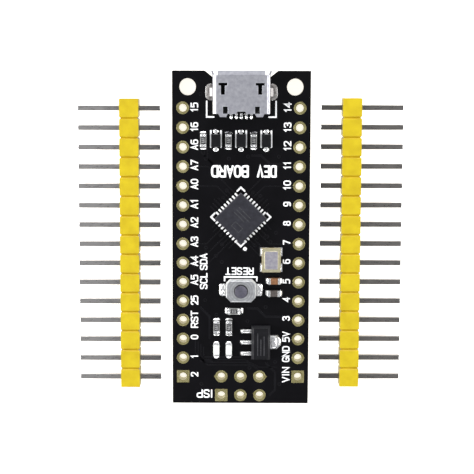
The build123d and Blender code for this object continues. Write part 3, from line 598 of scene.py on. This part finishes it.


# painted sheen on the slanted walls of the packages and of the crystal's lid
paint_slope_sheen(matte_epoxy, (0.02, 0.02, 0.022))
paint_slope_sheen(lid_steel, (0.42, 0.38, 0.25))
paint_slope_sheen(epoxy, (0.06, 0.06, 0.07))
key_rubber = surface(
    "key_plunger", (0.045, 0.043, 0.06), (0.09, 0.086, 0.112), (0.35, 0.55), grain=1.8, fine=14.0,
    relief=0.012, edge=0.05
)
# painted shade: the plunger's side wall is darkened
shade_walls(key_rubber, 0.35, 0.25)
# painted light: the right pins have darker, warmer tones than the left, as a shaded copy of the same tin
pins_left = pin_material("pin_metal_left", "header_left_pins", 0.19, 0.44, (1.0, 0.965, 0.94))
pins_right = pin_material("pin_metal_right", "header_right_pins", 0.13, 0.24, (1.0, 0.945, 0.89))

node_materials = [
    (board_material(), "pcb"),
    (gold, "pads_left pads_right pads_isp"),
    (tin, "usb_slot_plating mcu_die_pad key_terminals regulator_leads"),
    (tin, "resistor_end_caps capacitor_end_caps led_terminals diode_leads"),
    (socket_steel_material(), "usb_shell"),
    (socket_plastic, "usb_insulator"),
    (contact_material(), "usb_contacts"),
    (satin_solder, "mcu_leads"),
    (silicon, "mcu_die"),
    (epoxy, "mcu_package"),
    (crystal_ceramic, "crystal_base"),
    (quartz, "crystal_blank"),
    (ring_gold, "crystal_ring"),
    (lid_steel, "crystal_lid"),
    (key_plastic, "key_base"),
    (key_steel_material(), "key_dome key_cover"),
    (key_rubber, "reset_plunger"),
    (matte_epoxy, "regulator_body diode_1 diode_2 diode_3"),
    (resistor_glass, "resistor_coats"),
    (alumina, "resistor_1 resistor_2 resistor_3 resistor_4 resistor_5 resistor_6"),
    (tan_ceramic, "capacitor_1"),
    (grey_ceramic, "capacitor_2"),
    (led_white, "led_1_base led_2_base led_1_lens led_2_lens"),
    (pins_left, "header_left_pins"),
    (pins_right, "header_right_pins"),
    (header_material("header_yellow_left", "header_left_strip"), "header_left_strip"),
    (header_material("header_yellow_right", "header_right_strip"), "header_right_strip"),
]
for material, nodes in node_materials:
    for node in nodes.split():
        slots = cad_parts[node].data.materials
        slots.clear()
        slots.append(material)

# ------------------------------------------------------------------------ legend glyphs

# Strokes on a cell 4 wide and 6 high.  "soft" strokes have their corners cut round,
# "hard" strokes keep them, and "loop" strokes close on themselves.
GLYPHS = {
    "0": [("loop", [(0, 0), (4, 0), (4, 6), (0, 6)])],
    "1": [("hard", [(0.9, 4.6), (2.2, 6), (2.2, 0)])],
    "2": [("soft", [(0, 4.6), (0.2, 6), (4, 6), (4, 3.4), (0, 0)]), ("hard", [(0, 0), (4, 0)])],
    "3": [
        ("soft", [(0, 5.2), (0.5, 6), (3.5, 6), (4, 4.6), (3.3, 3.1), (1.7, 3.1)]),
        ("soft", [(1.7, 3.1), (3.5, 3.1), (4.2, 1.5), (3.6, 0), (0.5, 0), (0, 0.9)]),
    ],
    "4": [("hard", [(3, 0), (3, 6), (0, 1.8), (4.2, 1.8)])],
    "5": [("hard", [(3.8, 6), (0.4, 6), (0.2, 3.3)]), ("soft", [(0.2, 3.3), (4, 4.2), (4, 0), (0, 0)])],
    "6": [("loop", [(0, 0), (4, 0), (4, 3.7), (0, 3.7)]), ("soft", [(0, 1.8), (0, 6), (3.7, 6)])],
    "7": [("hard", [(0, 6), (4, 6), (1.4, 0)])],
    "8": [
        ("loop", [(0, 0), (4, 0), (4, 3.2), (0, 3.2)]),
        ("loop", [(0.3, 3.2), (3.7, 3.2), (3.7, 6), (0.3, 6)]),
    ],
    "9": [("loop", [(0, 6), (4, 6), (4, 2.3), (0, 2.3)]), ("soft", [(4, 4.2), (4, 0), (0.3, 0)])],
    "A": [("hard", [(0, 0), (2, 6), (4, 0)]), ("hard", [(0.8, 1.9), (3.2, 1.9)])],
    "B": [
        ("hard", [(0, 0), (0, 6)]),
        ("soft", [(0, 6), (4, 6), (4, 3.1), (0, 3.1)]),
        ("soft", [(0, 3.1), (4.2, 3.1), (4.2, 0), (0, 0)]),
    ],
    "C": [("soft", [(4, 5.0), (3.6, 6), (0, 6), (0, 0), (3.6, 0), (4, 1.0)])],
    "D": [("hard", [(0, 0), (0, 6)]), ("soft", [(0, 6), (4.2, 6), (4.2, 0), (0, 0)])],
    "E": [("hard", [(3.7, 6), (0, 6), (0, 0), (3.7, 0)]), ("hard", [(0, 3.1), (3.2, 3.1)])],
    "G": [("soft", [(4, 5.0), (3.6, 6), (0, 6), (0, 0), (4, 0), (4, 2.6)]), ("hard", [(4, 2.6), (2.2, 2.6)])],
    "I": [("hard", [(2, 0), (2, 6)])],
    "L": [("hard", [(0.3, 6), (0.3, 0), (3.8, 0)])],
    "N": [("hard", [(0, 0), (0, 6), (4, 0), (4, 6)])],
    "O": [("loop", [(-0.1, 0), (4.1, 0), (4.1, 6), (-0.1, 6)])],
    "P": [("hard", [(0, 0), (0, 6)]), ("soft", [(0, 6), (4.2, 6), (4.2, 2.6), (0, 2.6)])],
    "R": [
        ("hard", [(0, 0), (0, 6)]),
        ("soft", [(0, 6), (4.2, 6), (4.2, 2.8), (0, 2.8)]),
        ("hard", [(2.2, 2.8), (4.1, 0)]),
    ],
    "S": [("soft", [(4, 4.9), (3.8, 6), (0, 6), (0, 3.4), (4, 2.7), (4, 0), (0.2, 0), (0, 1.1)])],
    "T": [("hard", [(0, 6), (4, 6)]), ("hard", [(2, 6), (2, 0)])],
    "V": [("hard", [(0, 6), (2, 0), (4, 6)])],
}
cell_width, cell_height = 4.0, 6.0
narrow_letters = {"I": 1.2, "1": 2.6}


def cut_corners(points, closed):
    """Corner cutting that rounds a path and keeps its ends."""
    path = [Vector(p) for p in points]
    rounds = 2
    for _ in range(rounds):
        cut = [] if closed else [path[0]]
        count = len(path)
        for i in range(count if closed else count - 1):
            here, after = path[i], path[(i + 1) % count]
            cut += [here.lerp(after, 0.22), here.lerp(after, 0.78)]
        if not closed:
            cut.append(path[-1])
        path = cut
    return path


def print_word(bm, word, place, size, turn, stroke, heights, mirrored=False):
    """Prints a word centred on place and turned by turn degrees.

    size is the (length, letter height) that the whole printed word takes up.
    """
    low, high = heights
    gap = 0.42 * cell_width
    widths = [narrow_letters.get(letter, cell_width) for letter in word]
    run = sum(widths) + gap * (len(word) - 1)
    across = (size[0] - stroke) / run if len(word) > 1 else 0.46 * size[1] / cell_width
    upward = (size[1] - stroke) / cell_height
    spin = Matrix.Rotation(math.radians(turn), 2)
    pen = -run / 2
    # crossing strokes stand at slightly different heights, so no two faces coincide
    step = 0.0015 * MM * (-1 if mirrored else 1)
    for letter, width in zip(word, widths):
        shift = pen + (width - cell_width) / 2
        for layer, (kind, points) in enumerate(GLYPHS.get(letter, [])):
            path = [Vector(p) for p in points] if kind == "hard" else cut_corners(points, kind == "loop")
            placed = []
            for p in path:
                local = spin @ Vector(((p.x + shift) * across, (p.y - cell_height / 2) * upward))
                if mirrored:
                    local.x = -local.x
                placed.append(Vector(place) + local)
            if mirrored:
                ribbon(bm, placed, stroke, low + step * layer, high, closed=kind == "loop")
            else:
                ribbon(bm, placed, stroke, low, high + step * layer, closed=kind == "loop")
        pen += width + gap


# ------------------------------------------------------------------ printed legend, top

letter_height = 1.0 * MM
stroke = 0.165 * MM
top_print = (board_top, board_top + ink)
left_label_x = pad_left_x + 1.52 * MM
left_names_x = pad_left_x + 2.73 * MM
right_label_x = pad_right_x - 1.6 * MM
# word, shift along the board from its pin, printed length; lengths in mm
left_words = [
    ("15", 0.1, 1.2), ("16", 0.1, 1.2), ("A6", 0.32, 1.38), ("A7", 0.2, 1.38), ("A0", 0.25, 1.38),
    ("A1", 0.2, 1.3), ("A2", 0.28, 1.38), ("A3", 0.28, 1.38), ("A4", 0.27, 1.38), ("A5", 0.29, 1.38),
    ("25", 0.12, 1.26), ("RST", 0.1, 2.32), ("0", 0.25, 0.7), ("1", 0.18, 0.7), ("2", 0.28, 0.7),
]
right_words = [
    ("14", 0.12, 1.25), ("13", 0.08, 1.25), ("12", 0.2, 1.25), ("11", 0.2, 1.05), ("10", 0.15, 1.25),
    ("9", 0.2, 0.7), ("8", 0.22, 0.7), ("7", 0.22, 0.7), ("6", 0.25, 0.7), ("5", 0.14, 0.7),
    ("4", 0.24, 0.7), ("3", 0.25, 0.7), ("5V", 0.32, 1.42), ("GND", 0.51, 2.15), ("VIN", 0.26, 2.1),
]


def pin_labels(bm, words, x):
    """Column of pin labels, each beside its pin."""
    for (word, shift, length), y in zip(words, pin_ys):
        print_word(bm, word, (x, y + shift * MM), (length * MM, letter_height), 90, stroke, top_print)


def left_legend(bm):
    """Labels of the left row, and the second names of two of its pins."""
    pin_labels(bm, left_words, left_label_x)
    name_length = 2.2 * MM
    for word, row, shift in (("SDA", 8, 0.17), ("SCL", 9, 0.16)):
        spot = (left_names_x, pin_ys[row] + shift * MM)
        print_word(bm, word, spot, (name_length, letter_height), 90, stroke, top_print)


def right_legend(bm):
    """Labels of the right row."""
    pin_labels(bm, right_words, right_label_x)


new_piece("legend_left", left_legend, ink_white)
new_piece("legend_right", right_legend, ink_white)

mcu_centre = middle("mcu_package")
key_centre = middle("reset_plunger")
diagonal = math.radians(45)


def board_title(bm):
    """Generic title, turned to read from the socket's end."""
    centre_x, centre_y = 0.3 * MM, 8.95 * MM
    height, title_stroke = 1.62 * MM, 0.28 * MM
    for word, shift, length in (("DEV", 3.05, 2.6), ("BOARD", -1.75, 4.9)):
        spot = (centre_x + shift * MM, centre_y)
        print_word(bm, word, spot, (length * MM, height), 180, title_stroke, top_print)


def part_legend(bm):
    """Words and outlines printed round the parts."""
    line = 0.2 * MM
    key_word = (key_centre.x - 0.2 * MM, key_centre.y + 2.47 * MM)
    print_word(bm, "RESET", key_word, (3.75 * MM, 1.02 * MM), 180, 0.17 * MM, top_print)
    isp_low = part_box("pads_isp")[0]
    isp_word = (isp_low.x - 1.36 * MM, isp_low.y + 1.02 * MM)
    print_word(bm, "ISP", isp_word, (2.15 * MM, 1.15 * MM), 180, 0.18 * MM, top_print)
    # bracket over the key
    bar = key_centre.y + 1.69 * MM
    drop = bar - 0.5 * MM
    left, right = key_centre.x - 2.16 * MM, key_centre.x + 2.09 * MM
    ribbon(bm, [(left, drop), (left, bar), (right, bar), (right, drop)], line, *top_print)
    # corners of the socket's outline
    corner_top, corner_foot = 18.05 * MM, 16.02 * MM
    for side in (-1, 1):
        outer, inner = side * 4.5 * MM, side * 3.58 * MM
        ribbon(bm, [(outer, corner_top), (outer, corner_foot), (inner, corner_foot)], line, *top_print)
    # bars beside each diode
    bar_reach, bar_shift, bar_offset, bar_width = 1.04 * MM, 0.2 * MM, 0.655 * MM, 0.24 * MM
    for number in (1, 2, 3):
        centre = middle(f"diode_{number}")
        for side in (-1, 1):
            x = centre.x + side * bar_offset
            ends = [(x, centre.y - bar_reach + bar_shift), (x, centre.y + bar_reach + bar_shift)]
            ribbon(bm, ends, bar_width, *top_print)
    # chevrons at the microcontroller's corners, and the dot at its first lead
    centre = Vector((-0.02 * MM, 2.96 * MM))
    arm = 0.48 * MM
    for quarter in range(4):
        out = toward(quarter * math.pi / 2)
        side = Vector((-out.y, out.x))
        tip = centre + out * 3.9 * MM
        ribbon(bm, [tip - out * arm + side * arm, tip, tip - out * arm - side * arm], 0.22 * MM, *top_print)
    disc(bm, (0.54 * MM, -1.25 * MM), 0.26 * MM, *top_print)


new_piece("legend_title", board_title, ink_white)
new_piece("legend_parts", part_legend, ink_white)


def underside_legend(bm):
    """Legend on the underside, mirrored so that it reads from below."""
    under = (board_under - 0.8 * ink, board_under)
    for words, x in ((left_words, left_label_x), (right_words, right_label_x)):
        for (word, _, length), y in zip(words, pin_ys):
            print_word(bm, word, (x, y), (length * MM, letter_height), 90, stroke, under, mirrored=True)
    for word, y in (("DEV", 6.0), ("BOARD", 3.4)):
        size = (0.98 * MM * len(word), 1.62 * MM)
        print_word(bm, word, (0.0, y * MM), size, 0, 0.32 * MM, under, mirrored=True)
    low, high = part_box("pads_isp")
    wide, narrow = 0.35 * MM, 0.2 * MM
    outline = rectangle(low.x - wide, low.y - narrow, high.x + wide, high.y + wide)
    ribbon(bm, outline, 0.16 * MM, *under, closed=True)


new_piece("legend_underside", underside_legend, ink_white)

# --------------------------------------------------------------- copper under the mask

trace_print = (board_top, board_top + 0.012 * MM)
trace_width = 0.16 * MM
land_pitch = 0.5 * MM
land_out = 2.8 * MM


def land_place(quarter, index, out):
    """Place on the board at a lead of the microcontroller, out from its middle."""
    outward = toward(diagonal + quarter * math.pi / 2)
    along = Vector((-outward.y, outward.x))
    return mcu_centre.xy + outward * out + along * (index - 3.5) * land_pitch, outward


def stub_length(index):
    """Length of a short track from a lead to its via."""
    return (0.7 + 0.35 * (index % 3)) * MM


def copper_traces(bm):
    """Fan of tracks from the microcontroller, and the tracks round the lower parts."""
    left_edge, right_edge = pad_left_x + pad_size / 2, pad_right_x - pad_size / 2
    # pin row that each lead runs to, for each side of the package; None makes a short track
    rows_of_leads = [
        (None, 6, None, 5, None, 4, None, 3),
        (3, None, 4, None, 5, None, 6, None),
        (None, None, 7, None, 8, None, 9, 10),
        (9, None, 8, None, 7, None, None, None),
    ]
    fan = [(quarter, *lead) for quarter, rows in enumerate(rows_of_leads) for lead in enumerate(rows)]
    for quarter, index, row in fan:
        start, outward = land_place(quarter, index, land_out)
        if row is None:
            ribbon(bm, [start, start + outward * stub_length(index)], trace_width, *trace_print)
            continue
        goal_x = left_edge if outward.x < 0 else right_edge
        rise = (pin_ys[row] - start.y) / outward.y
        run = (goal_x - start.x) / outward.x
        if rise <= 0.05 * MM or rise >= run:
            ribbon(bm, [start, start + outward * 1.1 * MM], trace_width, *trace_print)
            continue
        bend = start + outward * rise
        ribbon(bm, [start, bend, Vector((goal_x, pin_ys[row]))], trace_width, *trace_print)
    for i in range(4):
        step = 0.36 * MM * i
        x, y = 4.9 * MM + step, pin_ys[-1] + 1.55 * MM + step
        path = [
            (-x, y + 2.4 * MM),
            (-x, y + 0.5 * MM),
            (-x + 0.5 * MM, y),
            (1.2 * MM - 0.3 * i * MM, y),
            (2.4 * MM, y - 1.0 * MM),
            (4.6 * MM + 0.1 * i * MM, y - 1.0 * MM),
            (5.3 * MM, y - 1.7 * MM),
        ]
        ribbon(bm, path[: 4 + i % 3], trace_width, *trace_print)
    for i in range(3):
        x = -5.2 + 0.4 * i
        path = [(x, 13.9), (x, 11.4 - 0.4 * i), (x + 1.1, 10.3 - 0.4 * i)]
        ribbon(bm, [Vector(p) * MM for p in path], trace_width, *trace_print)
    wide = [
        [(-5.3, -9.1), (-4.1, -10.3), (-4.1, -13.2)],
        [(0.9, -9.2), (2.2, -9.2), (3.3, -10.3), (5.2, -10.3)],
        [(-5.2, -16.3), (-3.9, -16.3), (-3.2, -15.9)],
        [(3.4, -16.6), (4.6, -17.8), (4.6, -20.2), (3.9, -20.9)],
        [(1.4, 11.0), (2.6, 11.0), (3.8, 9.9), (5.2, 9.9)],
    ]
    for path in wide:
        ribbon(bm, [Vector(p) * MM for p in path], 0.3 * MM, *trace_print)


via_outer, via_inner = 0.25 * MM, 0.12 * MM
via_places = [
    (-3.2, -10.05), (3.3, -9.0), (4.6, -16.4), (-4.7, -8.1), (-4.6, -1.1), (-3.3, -2.2), (2.1, 0.2),
    (3.2, 0.3), (3.9, -0.3), (4.6, 0.9), (2.6, -1.1), (-2.5, -3.0), (0.9, -10.9), (1.2, -17.2),
    (-5.2, -19.4), (5.2, -19.4), (-4.6, 10.6), (4.9, 10.9), (0.9, 10.9), (-1.6, 10.6), (-5.3, 19.0),
]


def via_rims(bm):
    """Rims of the vias, at the ends of the short tracks and in free places on the board."""
    low, high = trace_print[0], trace_print[1] + 0.004 * MM
    for quarter, index in ((0, 6), (0, 4), (1, 1), (1, 3), (2, 5), (2, 3), (3, 1), (3, 5)):
        place, _ = land_place(quarter, index, land_out + stub_length(index))
        ring(bm, place, via_outer, via_inner, low, high)
    for x, y in via_places:
        ring(bm, (x * MM, y * MM), via_outer, via_inner, low, high)


def underside_tracks(bm):
    """Tracks and vias under the mask on the underside."""
    low, high = board_under - 0.009 * MM, board_under
    rim = low - 0.003 * MM
    run_out = 1.1 * MM
    for i, y in enumerate(pin_ys[1:13]):
        side = -1 if i % 2 else 1
        start = Vector((side * (pad_right_x - pad_size / 2), y))
        bend = start + Vector((-side * (2.2 + 0.5 * (i % 4)) * MM, 0))
        lean = 1 if i % 3 else -1
        end = bend + Vector((-side * run_out, lean * run_out))
        ribbon(bm, [start, bend, end], trace_width, low, high)
        ring(bm, end, via_outer, via_inner, high, rim)
    for x, y in via_places:
        ring(bm, (x * MM, y * MM), via_outer, via_inner, high, rim)


new_piece("copper_tracks", copper_traces, trace_black)
new_piece("copper_underside", underside_tracks, trace_black)
new_piece("copper_vias", via_rims, trace_black)


def isp_teardrops(bm):
    """Small bare corners on the outer pads of the programming header."""
    radius = pad_size / 2
    y = pin_ys[-1]
    for side in (1, -1):
        shoulder = side * (pitch + radius * 0.86)
        tip = side * (pitch + radius + 0.17 * MM)
        outline = [(shoulder, y - radius * 0.42), (tip, y), (shoulder, y + radius * 0.42)]
        prism(bm, outline, board_top, board_top + 0.01 * MM)


new_piece("isp_pad_corners", isp_teardrops, gold)

etch_height = 0.006 * MM


def chip_marks(bm):
    """Plain laser-etched bars and frames on the two larger packages, no lettering."""
    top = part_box("mcu_package")[1].z
    etch = (top, top + etch_height)
    spin = Matrix.Rotation(-diagonal, 2)

    def placed(points):
        return [mcu_centre.xy + spin @ (Vector(p) * MM) for p in points]

    for y, end in ((0.9, 0.9), (0.45, 1.1), (0.0, 0.6)):
        ribbon(bm, placed([(-1.2, y), (end, y)]), 0.12 * MM, *etch)
    ribbon(bm, placed(rectangle(-0.2, -1.5, 1.1, -0.75)), 0.09 * MM, *etch, closed=True)
    body = middle("regulator_body").xy
    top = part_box("regulator_body")[1].z
    for x, end in ((-0.42, 1.4), (0.0, 0.6), (0.42, 1.0)):
        bar = [body + Vector((x, -1.5)) * MM, body + Vector((x, end)) * MM]
        ribbon(bm, bar, 0.12 * MM, top, top + etch_height)


new_piece("chip_marks", chip_marks, mark_grey)

# ------------------------------------------------------------------------------ solder


def solder_piece(name, mesh_maker, replaced, material=solder, smooth=60):
    """Solder in finer shape that stands in for a CAD solder node."""
    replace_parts(new_piece(name, mesh_maker, material, smooth=smooth), replaced)


def mcu_beads(bm):
    """Bead at each lead of the microcontroller."""
    bead = (0.48 * MM, 0.26 * MM)
    for quarter in range(4):
        for index in range(8):
            place, outward = land_place(quarter, index, 2.605 * MM)
            heading = math.atan2(outward.y, outward.x)
            dome(bm, place, *bead, heading, board_top, 0.06 * MM, square=0.75)


solder_piece("mcu_beads", mcu_beads, "mcu_solder", satin_solder)

chip_half = 0.8 * MM
chip_foot = (0.38 * MM, 0.93 * MM)
chip_crown = (0.05 * MM, 0.74 * MM)
resistors = [f"resistor_{n}" for n in range(1, 7)]


def chip_ends(node):
    """Middle of a chip part in plan, and the headings of its two ends."""
    low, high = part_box(node)
    size = high - low
    heading = 0.0 if size.x > size.y else math.pi / 2
    return ((low + high) / 2).xy, (heading, heading + math.pi)


def chip_fillets(nodes, height, foot=chip_foot, belly=0.0, square=0.6):
    """Mesh maker for the fillets at both ends of each chip part."""

    def make(bm):
        for node in nodes:
            centre, ways = chip_ends(node)
            for way in ways:
                root = centre + toward(way) * chip_half
                fillet_bead(bm, root, way, foot, chip_crown, board_top, height, belly, square)

    return make


def resistor_ends(bm):
    """Fillets at the resistors' ends, and the solder that has run up over their caps."""
    chip_fillets(resistors, 0.36 * MM)(bm)
    lump_size = (0.3 * MM, 0.38 * MM)
    for seed, node in enumerate(resistors):
        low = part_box(node)[1].z - 0.01 * MM
        centre, ways = chip_ends(node)
        for end, way in enumerate(ways):
            along = toward(way)
            side = Vector((-along.y, along.x))
            for step in (-1, 1):
                place = centre + along * 0.68 * MM + side * step * 0.21 * MM
                lump = 3.1 * seed + step + end * math.pi
                dome(bm, place, *lump_size, way, low, 0.07 * MM, seed=lump, rough=1.0)


def resistor_marks(bm):
    """Three plain pale bars printed on each resistor's coat, no lettering."""
    coat_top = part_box("resistor_coats")[1].z
    for node in resistors:
        centre, ways = chip_ends(node)
        along = toward(ways[0])
        side = Vector((-along.y, along.x)) * 0.17 * MM
        for step in (-1, 0, 1):
            spot = centre + along * step * 0.21 * MM
            lean = along * step * 0.03 * MM
            ribbon(bm, [spot - side - lean, spot + side + lean], 0.07 * MM, coat_top, coat_top + etch_height)


solder_piece("resistor_fillets", resistor_ends, "resistor_solder")
new_piece("resistor_marks", resistor_marks, print_grey)
capacitor_ends = chip_fillets(["capacitor_1", "capacitor_2"], 0.5 * MM, belly=1.0)
solder_piece("capacitor_fillets", capacitor_ends, "capacitor_solder")
led_foot = (0.38 * MM, 0.84 * MM)
led_ends = chip_fillets(["led_1_base", "led_2_base"], 0.24 * MM, foot=led_foot, belly=1.0, square=0.9)
solder_piece("led_fillets", led_ends, "led_solder")


def diode_beads(bm):
    """Bead at both leads of each diode."""
    for number in (1, 2, 3):
        centre = middle(f"diode_{number}")
        for side in (-1, 1):
            place = (centre.x, centre.y + side * 1.18 * MM)
            dome(bm, place, 0.6 * MM, 0.74 * MM, math.pi / 2, board_top, 0.17 * MM, square=0.8, rough=0.3)


solder_piece("diode_beads", diode_beads, "diode_solder")


def key_fillets(bm):
    """Solder at the key's terminals, run over each terminal's end in two lumps."""
    low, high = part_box("key_terminals")
    centre = (low + high) / 2
    half = (high.x - low.x) / 2
    foot, crown = (0.24 * MM, 1.6 * MM), (0.06 * MM, 1.3 * MM)
    lump_low = board_top + 0.1 * MM
    for side in (-1, 1):
        way = 0.0 if side > 0 else math.pi
        root = (centre.x + side * (half - 0.02 * MM), centre.y)
        fillet_bead(bm, root, way, foot, crown, board_top, 0.16 * MM, belly=1.0)
        for step, width in ((-0.42, 0.62), (0.34, 0.78)):
            place = (centre.x + side * (half - 0.3 * MM), centre.y + step * MM)
            size = (0.56 * MM, width * MM)
            dome(bm, place, *size, way, lump_low, 0.13 * MM, square=0.8, seed=step, rough=0.5)


solder_piece("key_fillets", key_fillets, "key_solder")


def regulator_fillets(bm):
    """Solder at the regulator's leads, on them, and round its heat tab."""
    lead_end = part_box("regulator_leads")[0].x
    centre = middle("regulator_body")
    foot, crown = (0.22 * MM, 0.6 * MM), (0.055 * MM, 0.44 * MM)
    lead_top = board_top + 0.34 * MM
    for step in (-1, 0, 1):
        y = centre.y + step * 1.5 * MM
        fillet_bead(bm, (lead_end, y), math.pi, foot, crown, board_top, 0.3 * MM, belly=1.0)
        place = (lead_end + 0.2 * MM, y)
        dome(bm, place, 0.5 * MM, 0.6 * MM, 0.0, board_top, 0.28 * MM, square=0.85, seed=step, rough=0.3)
        place = (lead_end + 0.66 * MM, y)
        dome(bm, place, 1.28 * MM, 0.42 * MM, 0.0, lead_top, 0.09 * MM, square=0.9, seed=step, rough=0.3)
    tab = (centre.x + 1.72 * MM, centre.y)
    dome(bm, tab, 0.86 * MM, 1.5 * MM, 0.0, lead_top, 0.1 * MM, square=0.8, seed=3, rough=0.9)
    # six-sided pool round the tab; half outlines of its foot and its crown, in mm
    foot = [(1.27, 0.98), (2.2, 0.98), (2.72, 0.28)]
    crown = [(1.27, 0.84), (1.75, 0.84), (2.42, 0.44)]
    loops = []
    levels = 4
    for level in range(levels + 1):
        t = level / levels
        half = [Vector(a).lerp(Vector(b), t**1.4) * MM for a, b in zip(foot, crown)]
        points = [(p.x, -p.y) for p in half] + [(p.x, p.y) for p in reversed(half)]
        height = board_top + 0.3 * MM * t
        loops.append([bm.verts.new((centre.x + x, centre.y + y, height)) for x, y in points])
    skin(bm, loops)


solder_piece("regulator_fillets", regulator_fillets, "regulator_solder", smooth=35)


def crystal_lands(bm):
    """Land and bead at each corner of the crystal."""
    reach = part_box("crystal_solder")[1]
    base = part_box("crystal_base")[1]
    centre = middle("crystal_base")
    half_x, half_y = 0.56 * MM, 0.58 * MM
    for sx in (-1, 1):
        for sy in (-1, 1):
            x = centre.x + sx * (reach.x - centre.x - 0.575 * MM)
            y = centre.y + sy * (reach.y - centre.y - 0.6 * MM)
            land = rectangle(x - half_x, y - half_y, x + half_x, y + half_y)
            prism(bm, land, board_top, board_top + 0.055 * MM, inset=0.05 * MM)
            corner_x = centre.x + sx * (base.x - centre.x - 0.06 * MM)
            corner = (corner_x, centre.y + sy * (base.y - centre.y - 0.52 * MM))
            size = (0.9 * MM, 0.36 * MM)
            dome(bm, corner, *size, math.pi / 2, board_top, 0.3 * MM, square=0.8, seed=sx, rough=0.3)


solder_piece("crystal_lands", crystal_lands, "crystal_solder", smooth=50)


def socket_beads(bm):
    """Dull solder that fills the slots round the socket's legs, heaped in the middle."""
    low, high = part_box("usb_slot_plating")
    # length, width and height in mm, squareness, roughness
    heaps = ((2.12, 1.32, 0.13, 0.85, 0.6), (1.45, 0.8, 0.17, 0.9, 0.7))
    for side in (-1, 1):
        place = (side * (high.x - 0.68 * MM), (low.y + high.y) / 2)
        for length, width, height, square, rough in heaps:
            size = (length * MM, width * MM)
            dome(bm, place, *size, math.pi / 2, board_top, height * MM, square, side, rough)


solder_piece("socket_beads", socket_beads, "usb_solder", dull_solder)


def socket_tail_beads(bm):
    """Bead at the tail of each of the socket's contacts."""
    low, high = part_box("usb_contacts")
    for i in range(5):
        place = ((low.x + high.x) / 2 + (i - 2) * 0.65 * MM, low.y + 0.1 * MM)
        dome(bm, place, 0.6 * MM, 0.44 * MM, math.pi / 2, board_top, 0.24 * MM, square=0.9, seed=i, rough=0.2)


new_piece("socket_tail_beads", socket_tail_beads, solder, smooth=60)

# --------------------------------------------------------------------- camera and light

photo_side = 474
focal_pixels = 1307.3
camera_data = bpy.data.cameras.new("camera")
camera = bpy.data.objects.new("camera", camera_data)
bpy.context.scene.collection.objects.link(camera)
camera_data.sensor_width = 36.0
camera_data.lens = camera_data.sensor_width * focal_pixels / photo_side
camera_data.clip_start = 5 * MM
camera_data.clip_end = 5.0
camera.location = Vector((-0.396, 21.59, 171.93)) * MM
camera.rotation_mode = "XYZ"
camera.rotation_euler = [math.radians(a) for a in (-7.117, 0.063, 0.19)]
bpy.context.scene.camera = camera


def softbox(name, place, size, power):
    """Rectangular area light aimed at the middle of the board; metres and watts."""
    light = bpy.data.lights.new(name, "AREA")
    light.shape = "RECTANGLE"
    light.size, light.size_y = size
    light.energy = power
    lamp = bpy.data.objects.new(name, light)
    lamp.location = Vector(place)
    lamp.rotation_mode = "QUATERNION"
    lamp.rotation_quaternion = (-Vector(place)).to_track_quat("-Z", "Y")
    bpy.context.scene.collection.objects.link(lamp)


softbox("light_left", (-0.34, 0.02, 0.15), (0.24, 0.30), 2.0)
softbox("light_right", (0.34, 0.02, 0.15), (0.24, 0.30), 1.2)
softbox("light_back", (0.0, 0.40, 0.16), (0.34, 0.16), 1.1)
softbox("light_front", (0.0, -0.42, 0.10), (0.34, 0.12), 0.55)

world = bpy.data.worlds.new("studio")
bpy.context.scene.world = world
world.use_nodes = True
sky = world.node_tree
backdrop = sky.nodes["Background"]
sky_places = node_of(sky, "TexCoord", {}).outputs["Generated"]
height = axis_of(sky, sky_places, "Z")
sideways = axis_of(sky, sky_places, "X")
from_horizon = math_of(sky, "SUBTRACT", 1.0, math_of(sky, "MAXIMUM", height, 0.0))
low_glow = math_of(sky, "MULTIPLY", math_of(sky, "POWER", from_horizon, 1.5), 0.75)
left_glow = math_of(sky, "SUBTRACT", 1.0, math_of(sky, "MULTIPLY", sideways, 0.25))
glow = math_of(sky, "MULTIPLY", math_of(sky, "ADD", 0.52, low_glow), left_glow)
feed(sky, backdrop, {"Color": (0.95, 0.965, 1.0, 1.0), "Strength": glow})

floor_mesh = bpy.data.meshes.new("floor")
reach = 1.5
floor_mesh.from_pydata(
    [(-reach, -reach, 0), (reach, -reach, 0), (reach, reach, 0), (-reach, reach, 0)], [], [(0, 1, 2, 3)]
)
floor = bpy.data.objects.new("floor", floor_mesh)
floor.location.z = board_under - 0.03 * MM
bpy.context.scene.collection.objects.link(floor)
floor_material, floor_tree, _ = shader("pale_floor")
look_of(
    floor_tree,
    Base_Color=(0.85, 0.85, 0.85, 1.0),
    Roughness=0.9,
    Emission_Color=(1.0, 0.955, 0.86, 1.0),
    Emission_Strength=0.92,
)
floor_mesh.materials.append(floor_material)

bpy.context.scene.view_settings.view_transform = "Standard"
